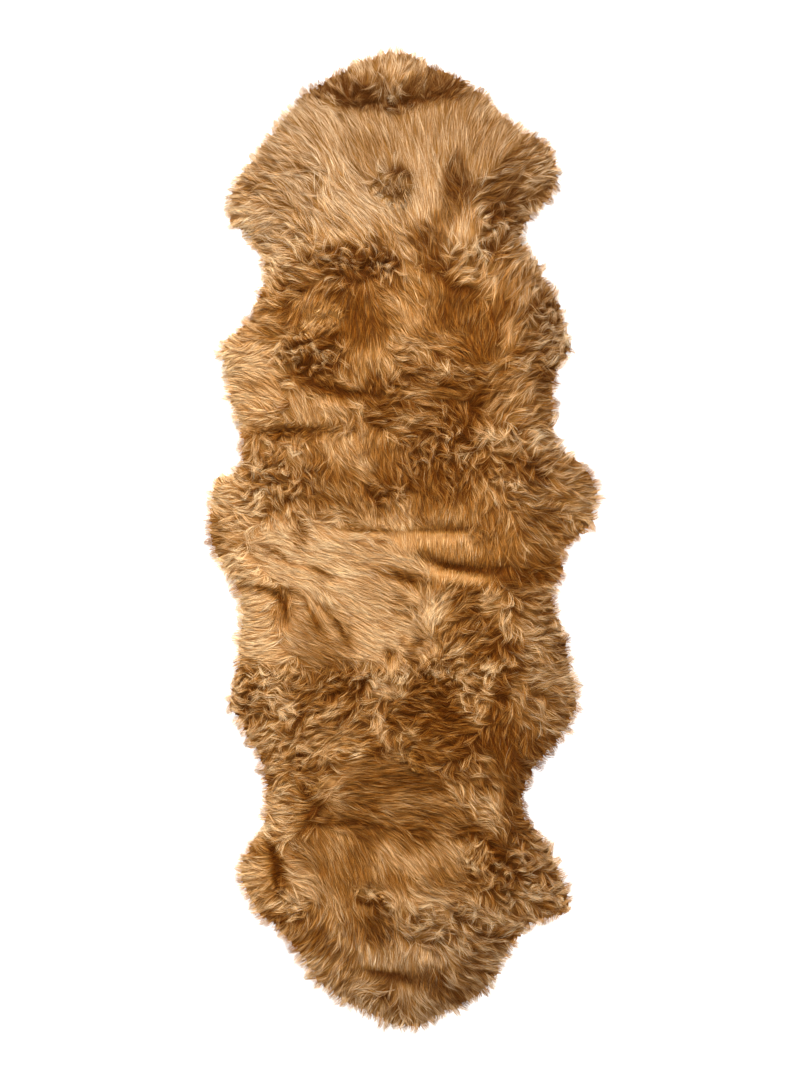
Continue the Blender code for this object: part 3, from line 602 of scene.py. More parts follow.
    (33, -236, 22, 15, 0, -36), (64, -236, 11, 15, 0, 9), (77, -212, 15, 18, 0, -55),
    (104, -207, 11, 18, 0, 28), (164, -194, 22, 26, 0, -79), (201, -198, 22, 15, 0, -49),
    (97, -243, 9, 9, 0, 7), (160, -240, 15, 13, 0, 49), (135, -254, 22, 15, 0, 20),
    (224, -176, 15, 16, 20, 49), (188, -158, 15, 22, 0, 28), (261, -163, 26, 11, -20, -9),
    (252, -209, 18, 13, 0, 28), (288, -202, 13, 15, 0, -36), (243, -243, 15, 9, 0, 17),
    (197, -231, 18, 15, 0, -12), (128, -280, 15, 15, 0, 20), (117, -295, 15, 15, 0, -1),
    (137, -315, 11, 15, 0, 25), (139, -338, 11, 11, 0, -4), (162, -284, 7, 15, -15, 41),
    (146, -273, 7, 11, 0, -25), (184, -276, 7, 26, -15, -68), (222, -276, 15, 20, 0, 28),
    (219, -298, 18, 15, 0, 1), (261, -287, 26, 11, 0, -39), (272, -269, 11, 9, 0, 39),
    (299, -276, 15, 26, 0, 28), (305, -240, 11, 22, 0, 39), (266, -331, 22, 26, 0, -12),
    (292, -331, 9, 9, 0, -41), (215, -324, 22, 26, 0, -31), (266, -373, 11, 11, 0, -44),
    (126, -398, 9, 9, 0, -20), (155, -406, 13, 9, 0, 20), (84, -419, 15, 22, 0, -39),
    (47, -378, 26, 18, 0, -73), (212, -528, 16, 18, 0, -76), (139, -444, 13, 18, 10, 23),
    (106, -455, 13, 9, 0, 23), (150, -455, 11, 9, 0, -55), (170, -451, 9, 7, 0, -15),
    (160, -482, 26, 9, 0, 47), (120, -473, 22, 11, 0, 28), (5, -389, 15, 18, 0, -12),
    (-31, -400, 29, 15, 0, -33), (-55, -413, 18, 11, 0, -20), (33, -450, 29, 9, -15, -73),
    (-182, -426, 26, 20, 0, -52), (-104, -431, 15, 22, 0, 4), (-135, -450, 18, 15, 10, 39),
    (-213, -450, 18, 18, 0, 12), (-195, -468, 15, 11, -40, 28), (-168, -468, 13, 9, 0, -55),
    (-77, -450, 22, 15, 0, -39), (-13, -477, 22, 13, 0, 4), (51, -479, 11, 9, 0, 4),
    (18, -477, 18, 11, 0, -23), (88, -477, 18, 11, 0, -1), (-213, -513, 27, 36, 0, 39),
    (-268, -605, 36, 36, 0, 39), (-168, -522, 46, 36, 0, -52), (-113, -568, 55, 36, 0, -20),
    (-40, -513, 73, 36, 0, -39), (51, -522, 73, 36, 0, -47), (-4, -586, 55, 27, 0, 31),
    (197, -550, 46, 55, 0, -73), (261, -586, 46, 55, 0, 4), (160, -495, 27, 27, 0, 44),
    (88, -623, 64, 27, 0, -12), (-186, -632, 36, 27, 0, 41), (-95, -623, 46, 36, 0, -25),
    (-232, -659, 36, 27, 0, 15), (-131, -696, 46, 55, 0, -1), (-40, -696, 36, 36, 0, -63),
    (51, -696, 73, 46, 0, 12), (179, -659, 73, 55, 0, -9), (270, -659, 46, 36, 0, 7),
    (-150, -769, 55, 36, 0, 7), (-22, -760, 73, 27, 0, 9), (124, -750, 73, 36, 0, -9),
    (-4, -805, 91, 18, 0, -57), (-95, -833, 46, 27, 0, 4), (33, -860, 73, 27, 0, -1),
    (142, -814, 36, 36, 0, -25), (-204, -484, 13, 9, 0, -31), (-222, -513, 9, 29, 0, 55),
    (-213, -561, 11, 16, -20, 52), (-153, -491, 11, 15, 0, -55), (-131, -482, 20, 15, 0, 23),
    (-95, -517, 27, 9, 5, -76), (-66, -539, 26, 16, 0, -60), (-122, -537, 22, 9, 0, 4),
    (-122, -568, 18, 11, 0, 4), (-164, -577, 18, 15, 0, -31), (-77, -586, 26, 26, 0, -36),
    (-124, -615, 26, 16, -30, -36), (-95, -641, 26, 15, -30, -39), (-55, -482, 15, 11, 0, -52),
    (-13, -484, 22, 13, 0, 20), (-15, -513, 26, 11, 0, -9), (42, -522, 26, 22, 0, -57),
    (75, -543, 11, 29, -15, 7), (97, -481, 18, 9, 0, -1), (120, -528, 22, 18, 0, -60),
    (146, -544, 11, 9, 0, -39), (151, -499, 18, 18, 0, 55), (168, -522, 13, 15, 0, 9),
    (201, -486, 15, 26, 0, -68), (261, -568, 18, 26, 0, 23), (-24, -572, 18, 16, 0, 44),
    (-4, -590, 22, 18, 0, 36), (20, -599, 13, 15, 0, 65), (36, -619, 11, 15, 0, 41),
    (78, -572, 36, 11, 12, 41), (97, -590, 22, 11, 0, 15), (18, -564, 18, 9, 0, -20),
    (142, -577, 15, 18, 0, -17), (-7, -625, 18, 16, 0, -39), (82, -623, 26, 15, 0, -36),
    (42, -634, 26, 9, 0, 7), (135, -625, 15, 13, 0, -44), (-67, -645, 22, 11, 0, 20),
    (-16, -659, 13, 18, 0, 39), (33, -667, 33, 13, 0, 63), (78, -656, 26, 9, 10, 31),
    (133, -661, 11, 20, 0, 23), (146, -674, 11, 11, 0, -39), (179, -641, 26, 18, 0, -63),
    (202, -623, 15, 29, 0, -63), (230, -614, 9, 9, 0, 7), (252, -619, 22, 22, 0, -23),
    (233, -652, 18, 15, 0, 23), (212, -687, 9, 7, 0, -39), (252, -685, 26, 13, 10, -15),
    (179, -688, 22, 15, 0, 15), (-266, -574, 18, 13, 0, -28), (-232, -594, 11, 26, 15, -73),
    (-222, -626, 9, 22, 0, -60), (-281, -619, 22, 18, 0, 52), (-195, -608, 11, 18, -20, 41),
    (-188, -637, 18, 13, 0, 65), (-199, -672, 26, 13, 0, 33), (-237, -688, 15, 13, -20, -44),
    (-181, -685, 16, 11, 30, -17), (-128, -665, 9, 18, 0, 39), (-126, -688, 11, 26, 0, 49),
    (-109, -721, 11, 22, 20, 17), (-155, -725, 18, 16, -20, -71), (-137, -750, 22, 15, -30, -71),
    (-181, -743, 15, 9, 0, -47), (-108, -761, 22, 11, 0, -39), (-89, -710, 18, 22, 0, -49),
    (-47, -696, 16, 29, 0, -76), (-33, -732, 15, 15, 0, -68), (-71, -679, 11, 7, 0, 15),
    (-5, -714, 7, 22, 0, 15), (13, -718, 11, 11, 0, -36), (22, -696, 9, 7, 0, -39), (33, -714, 9, 13, 0, 33),
    (51, -705, 22, 26, 0, 20), (82, -687, 13, 15, 0, 23), (108, -696, 13, 9, 0, -39),
    (91, -727, 13, 18, 0, -33), (111, -727, 11, 9, 0, 20), (139, -723, 15, 11, 0, -44),
    (182, -725, 16, 15, 0, -47), (170, -752, 15, 11, 0, -28), (97, -756, 22, 11, 20, 31),
    (33, -760, 26, 18, 0, 25), (124, -772, 18, 16, 0, -39), (-66, -760, 26, 15, 0, 25),
    (-40, -780, 26, 7, 0, 28), (-126, -796, 9, 15, 0, 23), (-44, -798, 22, 9, -15, -71),
    (51, -811, 18, 18, 0, -75), (97, -798, 15, 15, 0, -17), (88, -838, 22, 9, 0, -71),
    (117, -829, 18, 15, 20, -73), (160, -814, 11, 22, 0, 9), (-104, -816, 11, 11, 0, -31),
    (-73, -818, 13, 26, -10, 23), (-22, -838, 11, 26, 20, -52), (-4, -825, 15, 9, 0, 9),
    (38, -838, 15, 11, 0, 15), (5, -847, 18, 9, 0, -36),
]

# rucks in the pelts: ends, then in tenths of a millimetre the sideways bow at the middle, the half
# width and the rise, and how pale the line is: painted shade where it is dark, painted light where pale
ruckSteps = {
    "x1": 1000, "y1": 1000, "x2": 1000, "y2": 1000,
    "bow": 10000, "half": 10000, "rise": 10000, "tone": 100,
}
ruckRows = [
    (-159, 829, -49, 792, -109, 91, -40, -45), (-49, 792, 124, 833, -109, 91, -40, -45),
    (-131, 19, -4, 12, 0, 46, -35, -85), (-4, 12, 124, 16, 18, 46, -30, -50),
    (40, -39, 190, -56, -91, 73, -35, -75), (47, -54, 188, -76, -91, 109, 3, 5),
    (-255, -12, -193, -48, 0, 46, -40, -90), (-175, -48, -120, -72, 0, 46, -35, -90),
    (-283, -85, -232, -99, 18, 46, -50, -95), (-232, -99, -212, -149, 73, 55, -50, -100),
    (-215, -90, -182, -107, 18, 40, -40, -70), (-181, -114, -150, -171, 36, 47, -40, -95),
    (-153, -119, -95, -203, 73, 55, -45, -95), (-108, -123, 31, -183, -36, 55, -30, -25),
    (-22, -68, 51, -94, 55, 55, -35, -55), (-20, -203, -26, -229, 0, 55, -35, -75),
    (0, -178, 2, -200, 0, 55, -40, -70), (31, -183, 60, -222, -36, 55, -35, -50),
    (-197, 320, -150, 278, -55, 55, -35, -70), (-150, 278, -42, 267, -55, 55, -40, -50),
    (-275, 196, -108, 200, 0, 64, -40, -55), (-244, -557, -230, -590, 0, 55, -40, -60),
    (-230, -590, -232, -648, 0, 64, -50, -80), (-95, -785, 27, -812, 55, 73, -35, -55),
    (-129, -512, 0, -530, 0, 55, -40, -35), (-42, -344, -26, -378, 0, 55, 10, 25),
    (-215, -347, -108, -318, 0, 73, 10, 25), (252, 72, 328, 74, 0, 36, -30, -50),
]

# regions where the patches come out too pale or too dark in this light, typed in after comparing
# the render with the photo: middle, half width, half length, shift
shiftSteps = {"x": 1000, "y": 1000, "halfWidth": 1000, "halfLength": 1000, "shift": 100}
shiftRows = [
    (5, 730, 182, 77, -36), (-177, 800, 40, 29, -27), (42, 654, 73, 64, -13), (261, 709, 46, 73, -13),
    (-104, 590, 73, 46, -16), (69, 581, 73, 46, -19), (261, 544, 36, 91, -17), (-186, 435, 44, 40, 21),
    (-58, 435, 55, 82, -15), (261, 271, 36, 46, -29), (-255, 70, 62, 44, 25), (-177, 70, 55, 36, 16),
    (-255, -30, 66, 62, 29), (-186, -67, 82, 66, 21), (-95, -94, 82, 91, 21), (-31, -185, 91, 55, 19),
    (42, -212, 55, 33, 21), (179, -167, 109, 46, 12), (-204, -149, 55, 36, 13), (-241, -276, 55, 55, 13),
    (124, -295, 109, 36, 9), (51, -377, 55, 36, -16), (-113, -440, 46, 27, 16), (-250, -522, 47, 47, 23),
    (-104, -522, 109, 46, 12), (179, -595, 55, 47, 32), (-186, -586, 46, 36, 8), (33, -668, 109, 36, 17),
    (51, -741, 91, 33, 15), (179, -668, 55, 36, 13),
]

# places where painted sheen greys the gold of the wool: middle, half width, half length, how strong
sheenSteps = {"x": 1000, "y": 1000, "halfWidth": 1000, "halfLength": 1000, "dull": 100}
sheenPatchRows = [
    (0, 760, 360, 240, 100),
    (280, 500, 80, 170, 80),
    (290, 180, 80, 170, 60),
    (290, -260, 80, 170, 50),
    (260, -530, 80, 150, 35),
    (50, -860, 220, 170, 80),
]

combs, tones = table(combPatches, combSteps), table(tonePatches, toneSteps)
rucks, sheens = table(ruckRows, ruckSteps), table(sheenPatchRows, sheenSteps)
for shift in table(shiftRows, shiftSteps):
    offX, offY = tones["x"] - shift["x"], tones["y"] - shift["y"]
    away = (offX / shift["halfWidth"]) ** 2 + (offY / shift["halfLength"]) ** 2
    tones["tone"] += shift["shift"] * np.exp(-0.7 * away**2)

woolLie = {
    "localPull": 0.8,  # how far small patches outrank wide ones
    "combCrispness": 0.75,  # how sharply one way of lying gives way to the next
    "toneCrispness": 1.1,  # and one tone to the next
    "toneGain": 0.90,  # strength of the tones
    "swirl": 3.4,  # how far ruffled wool turns from the way that it is combed
    "swirlSizes": (0.026, 0.013),  # size of the wide turns and of the fine ones
    "fineSwirl": 0.6,  # strength of the fine ones against the wide ones
    "partedShade": 0.30,  # painted shade: how dark the roots are where it parts
    "drift": 0.005,  # how far the bounds of the tones wander
    "driftSizes": (0.034, 0.031),
    "mottle": 0.13,  # strength of the small, random changes of tone
    "mottleSizes": (0.038, 0.015),
    "sheenRipple": 0.15,  # how uneven the painted sheen is
    "sheenSize": 0.05,
    "underwoolReach": 0.0132,  # how far the undercoat stands out past the skin
    "ragged": 0.0036,  # how far the tufts at its rim go to and fro
    "tuft": 0.0026,  # and how wide they are
    "rimStep": 0.0045,  # the same for the even bed that the wisps grow on
    "rimRipples": ((0.045, 0.30), (0.019, 0.26), (0.009, 0.20)),  # waves of the rim: size, strength
    "rootReach": 0.0150,  # how far out past the skin wisps still begin
    "fringe": 0.0155,  # how far the tips stand out past those
    "fringeRipple": 0.9,  # how uneven that is
    "fringeSize": 0.014,
    "fringeGrowth": 0.95,  # how fast the wool gets longer away from the rim
    "rimPull": 1.7,  # how strongly the wool at the rim points outwards
    "rimDepth": 0.024,  # and how deep inside it this begins
    "rimWidth": 0.022,  # width of the rim, where the wool lies lower
    "rimRound": 0.020,  # width over which the undercoat rounds down
    "rimHeight": 0.0034,
    "undercoatShare": 0.62,  # height of the undercoat against the CAD fleece
    "undercoatLeast": 0.0045,
    "underside": 0.0021,
    "seamReach": 0.016,  # nearer to the seam than this, the two pelts level out
    "toneRise": 0.0035,  # pale wool stands higher, dark wool lies in hollows
    "toneRiseFrom": 0.03,  # at full strength this far in from the rim
    "rimCrowd": 2.9,  # how much denser the rim grows
    "rimCrowdWidth": 0.009,
    "fullParting": 90.0,  # how fast the way of lying changes, for each metre, where the wool parts fully
    "partedCrowd": 0.5,  # and how much denser the places are where the wool parts
    "ruffledCrowd": 0.8,
    "calmCrowd": 0.6,  # and along the creases
    "calmShade": 0.4,  # a crease whose painted shade is this dark fully calms the wool beside it
    "calming": 0.7,  # which takes this share of its ruffle
    "ruckEnd": 0.15,  # how much of a ruck is left at its ends, squared
    "start": 0.011,  # how far behind its root a wisp begins, so that partings don't show bare
    "crease": -0.22,  # rucks whose painted shade is darker than this end the wool that runs into them
    "runStep": 0.003,  # how finely that is looked for
    "strayTop": 0.008,  # height of the wool past the CAD fleece
    "pile": 0.040,  # length of smooth wool
    "ruffledPile": 0.019,
    "leastPile": 0.006,
    "lift": 0.0075,  # how far its tips stand above the undercoat
    "rimLift": 0.0035,
    "ruffledLift": 0.0145,
}


def patchShare(places, patches, turn, crispness):
    # how much each patch has to say at each place, the small ones more than the wide ones
    offX, offY = places[:, :1] - patches["x"], places[:, 1:2] - patches["y"]
    across = (offX * np.cos(turn) + offY * np.sin(turn)) / patches["halfWidth"]
    along = (offY * np.cos(turn) - offX * np.sin(turn)) / patches["halfLength"]
    size = patches["halfWidth"] * patches["halfLength"]
    pull = np.exp(-crispness * (across**2 + along**2) ** 1.5) * size ** -woolLie["localPull"] + 1e-12
    return pull / pull.sum(1, keepdims=True)


def lieAt(places):
    # the way the wool is combed and how ruffled it is
    combed = patchShare(places, combs, 0.0, woolLie["combCrispness"])
    heading = np.radians(combs["heading"])
    way = combed @ np.column_stack([np.cos(heading), np.sin(heading)])
    way /= np.linalg.norm(way, axis=1, keepdims=True) + 0.05
    ruffle = combed @ combs["ruffle"]
    wide, fine = woolLie["swirlSizes"]
    swirl = ripple(places, wide) + woolLie["fineSwirl"] * ripple(places[:, ::-1], fine)
    turn = ruffle * woolLie["swirl"] * swirl
    cosine, sine = np.cos(turn), np.sin(turn)
    way = np.column_stack([way[:, 0] * cosine - way[:, 1] * sine, way[:, 0] * sine + way[:, 1] * cosine])
    return way, ruffle


def toneAt(places):
    # how pale the wool is
    first, second = woolLie["driftSizes"]
    drift = np.column_stack([ripple(places, first), ripple(places[:, ::-1], second)])
    moved = places + woolLie["drift"] * drift
    turn = np.radians(tones["turn"])
    batch = 4000  # places reckoned at a time, which saves memory
    parts = [moved[k:k + batch] for k in range(0, len(moved), batch)]
    shaded = [patchShare(part, tones, turn, woolLie["toneCrispness"]) @ tones["tone"] for part in parts]
    wide, fine = woolLie["mottleSizes"]
    mottle = woolLie["mottle"] * (ripple(places, wide) + ripple(places, fine))
    return np.concatenate(shaded) * woolLie["toneGain"] + mottle


def paintedSheenAt(places):
    # how much painted sheen greys the gold of the wool
    offX, offY = places[:, :1] - sheens["x"], places[:, 1:2] - sheens["y"]
    near = np.exp(-((offX / sheens["halfWidth"]) ** 4) - (offY / sheens["halfLength"]) ** 4)
    uneven = woolLie["sheenRipple"] * ripple(places, woolLie["sheenSize"])
    return np.clip((near * sheens["dull"]).sum(1) + uneven, 0, 1)


def ruckAt(places):
    # how far the rucks lift a place, and how pale they make it: painted shade along dark creases and painted
    # light along pale ones
    rise, tone = np.zeros(len(places)), np.zeros(len(places))
    for ruck in rucks:
        start = np.array([ruck["x1"], ruck["y1"]])
        step = np.array([ruck["x2"], ruck["y2"]]) - start
        length = np.linalg.norm(step)
        offset = places - start
        share = offset @ step / length**2
        inside = np.clip(share, 0, 1)
        aside = (step[0] * offset[:, 1] - step[1] * offset[:, 0]) / length
        aside -= ruck["bow"] * 4 * inside * (1 - inside)
        past = (share - inside) * length
        near = np.exp(-((aside / ruck["half"]) ** 2) - (past / ruck["half"]) ** 2)
        taper = np.sqrt(np.clip(4 * inside * (1 - inside), woolLie["ruckEnd"], 1))
        rise += ruck["rise"] * near * taper
        tone += ruck["tone"] * near * taper
    return rise, tone


def fleeceTop(x, y):
    # height of the CAD fleece at this place, looked for from well above it
    for tree in fleeceTrees:
        hit = tree.ray_cast(Vector((x, y, 0.3)), Vector((0, 0, -1)))[0]
        if hit:
            return hit.z
    return woolLie["strayTop"]


def partedAt(places, step=0.006):
    # how strongly the wool parts here and bares its roots
    across = lieAt(places + (step, 0))[0] - lieAt(places - (step, 0))[0]
    along = lieAt(places + (0, step))[0] - lieAt(places - (0, step))[0]
    return (across[:, 0] + along[:, 1]) / (2 * step)


def runTo(places, way, limit):
    # how far wool can lie this way before a crease ends it
    run = np.full(len(places), limit)
    for step in np.arange(limit, 0, -woolLie["runStep"]):
        run[ruckAt(places + way * step)[1] < woolLie["crease"]] = step
    return run


def growUndercoat(name, pelt, loop, spacing, reach, ragged):
    # a dense, lumpy bed of underwool, with all that the wisps on it have to know
    loop = evenLoop(loop, woolLie["tuft"] if ragged else woolLie["rimStep"])
    uneven = 1
    for size, strength in woolLie["rimRipples"]:
        uneven = uneven + strength * ripple(loop, size)
    tufts = np.random.default_rng(3).uniform(-1, 1, len(loop))
    grownEdge = grownLoop(loop, reach * uneven + ragged * tufts)
    grownEdge[atSeam(grownEdge), 1] = seamY
    flat, faces = filledLoop(grownEdge, spacing)
    side, level = 1 if pelt == "upper" else -1, woolLie["seamReach"]
    top = np.zeros(len(flat))
    for i, (x, y) in enumerate(flat):
        away = abs(y - seamY)
        top[i] = fleeceTop(x, seamY + side * max(away, level))
        if away < level:
            other = fleeceTop(x, seamY - side * level)
            top[i] += (other - top[i]) * 0.5 * (1 - away / level)
    # the rucks lift the bed and lay painted shade along their dark creases and painted light along the pale
    # ones
    rise, paintedRuckShade = ruckAt(flat)
    (way, ruffle), tone = lieAt(flat), toneAt(flat)
    edge, out = nearEdge(flat, grownEdge)
    rise += tone * woolLie["toneRise"] * np.clip(edge / woolLie["toneRiseFrom"], 0, 1)
    height = np.maximum(woolLie["undercoatLeast"], top * woolLie["undercoatShare"] + rise)
    roundOff = np.sqrt(1 - (1 - np.clip(edge / woolLie["rimRound"], 0, 1)) ** 2)
    height = woolLie["rimHeight"] + (height - woolLie["rimHeight"]) * roundOff
    piece = closedSheet(name, flat, faces, height, woolLie["underside"])
    rim = np.exp(-((edge / woolLie["rimDepth"]) ** 2))[:, None]
    way = way + out * rim * woolLie["rimPull"]
    way /= np.linalg.norm(way, axis=1, keepdims=True) + 1e-9
    near = np.clip(1 - edge / woolLie["rimWidth"], 0, 1)
    calm = np.clip(-paintedRuckShade / woolLie["calmShade"], 0, 1)
    ruffle = ruffle * (1 - woolLie["calming"] * calm)
    pile = woolLie["pile"] + (woolLie["ruffledPile"] - woolLie["pile"]) * ruffle ** 0.7
    fringe = woolLie["fringe"] * (1 + woolLie["fringeRipple"] * ripple(flat, woolLie["fringeSize"]))
    pile = np.minimum(pile, fringe + edge * woolLie["fringeGrowth"])
    pile = np.minimum(pile, np.maximum(runTo(flat, way, woolLie["pile"]), woolLie["leastPile"]))
    back = runTo(flat, -way, woolLie["start"]) + woolLie["runStep"]
    back = np.minimum(woolLie["start"] * (1.1 - 0.75 * ruffle), back)
    lift = woolLie["lift"] + (woolLie["ruffledLift"] - woolLie["lift"]) * ruffle
    lift = lift * (1 - near) + woolLie["rimLift"] * near
    spread = partedAt(flat) / woolLie["fullParting"]
    parted = np.clip(spread, 0, 1)
    # painted shade at the roots where the wool parts, painted light where it closes up
    tone -= woolLie["partedShade"] * np.clip(spread, -0.5, 1) * ruffle ** 0.5
    crowd = 1 + (woolLie["rimCrowd"] - 1) * np.clip(1.9 - edge / woolLie["rimCrowdWidth"], 0, 1)
    crowd = crowd + parted * woolLie["partedCrowd"] + ruffle * woolLie["ruffledCrowd"]
    values = {
        # painted light: the rim is a little paler, for light through the thin fringe
        "tone": np.clip(tone + paintedRuckShade + 0.04 * near, -1.1, 1.1),
        "rim": near,
        "ruffle": np.clip(ruffle + 0.5 * parted, 0, 1),
        "dull": paintedSheenAt(flat),
        "pile": pile,
        "back": np.maximum(back, 0),
        "lift": lift,
        "crowd": crowd + calm * woolLie["calmCrowd"],
    }
    count, mesh = len(flat), piece.data
    for label, value in values.items():
        layer = mesh.attributes.new(label, "FLOAT", "POINT")
        full = np.zeros(len(mesh.vertices))
        full[:count] = value
        layer.data.foreach_set("value", full)
    layer = mesh.attributes.new("way", "FLOAT_VECTOR", "POINT")
    full = np.zeros((len(mesh.vertices), 3))
    full[:count, :2] = way
    layer.data.foreach_set("vector", full.ravel())
    return piece


# wool

woolSizes = {
    "Lock Gap": 0.0085,  # least distance between two locks
    "Density": 58000.0,  # wisps for each square metre, before the crowded places
    "Half Width": 0.00165,
    "Crown": 0.0038,  # how far the middle of a lock stands up
    "Thinness": 0.31,  # thickness of a wisp against its width
    "Gather": 0.62,  # how far the wisps draw together at the tip of their lock
    "Curl": 0.0022,
    "Seed": 5,
}

wispShape = {
    "mostLocks": 22000.0,  # for each square metre, before their gap thins them out
    "curlTurn": 5.2,  # radians of curl along a wisp
    "lockShift": 0.0028,  # how far off a lock takes its tone
    "ownShift": 0.0018,  # and each of its wisps
    "ruffledFrom": 0.62,  # more ruffled wool than this has four points a wisp, not three
    "ownRise": 0.005,  # how unevenly high the wisps of a lock lie
    "leastHeight": 0.0013,
    "droop": 0.5,  # how fast they come down past the rim
    "lockHalf": 0.62,  # half width of a lock against the gap between two
    "lockTurn": (0.10, 1.1),  # how far locks turn aside in smooth wool, and what full ruffle adds
    "ownTurn": (0.15, 0.36),  # and their wisps
    "curling": (0.45, 2.2),  # how much they curl
    "loose": (0.3, 1.1),  # and how unevenly high they lie
    "lookAhead": 0.7,  # share of its length over which a lock looks ahead for the lie of the wool
    "bend": 0.7,  # and how far it bends to that
    "gathering": (0.6, 0.65),  # how firmly the wisps of a lock draw together
    "curlHeight": 0.8,  # how far curls go up and down against sideways
    "flare": 1.15,  # width of a wisp against the profile
    "taper": 2.4,  # how late it narrows to its tip
    "weld": 0.00002,  # points of a wisp closer than this become one
}

# the least and the most of what differs at random, against the usual
wispRanges = {
    "lockReach": (0.82, 1.2),
    "lockLift": (0.6, 1.35),
    "lockCurl": (0.4, 1.3),
    "ownReach": (0.72, 1.08),
    "ownWidth": (0.35, 1.0),
    "ownPhase": (-0.7, 0.7),  # radians, to add
}

wispShade = {
    "middle": 0.51,  # shade of wool that is neither pale nor dark
    "patch": 0.46,  # how far the patches of tone move it
    "lock": 0.09,  # and each lock
    "wisp": 0.09,  # and each wisp
    "crown": 0.16,  # and the middle of a lock, as painted light on its crown and painted shade at its sides
    "contrast": (0.42, 2.2),  # strength of those three in smooth wool, and what full ruffle adds
    "tips": (0.10, 0.26),  # how much paler the tips are and darker the roots: partly the wool's own paler tips, partly painted shade in the gaps at the roots
    "lowWispShade": (0.08, 0.24),  # painted shade on the wisps that lie lower, painted light on those that lie highest
    # painted light: paler tips at the rim, for light shining through the thin fringe
    "rimTipLight": 0.05,
    "least": 0.012,
    "most": 0.988,
}


def rising(amounts, ruffle):
    # an amount for smooth wool, and what is added as it gets ruffled
    return amounts[0] + amounts[1] * ruffle


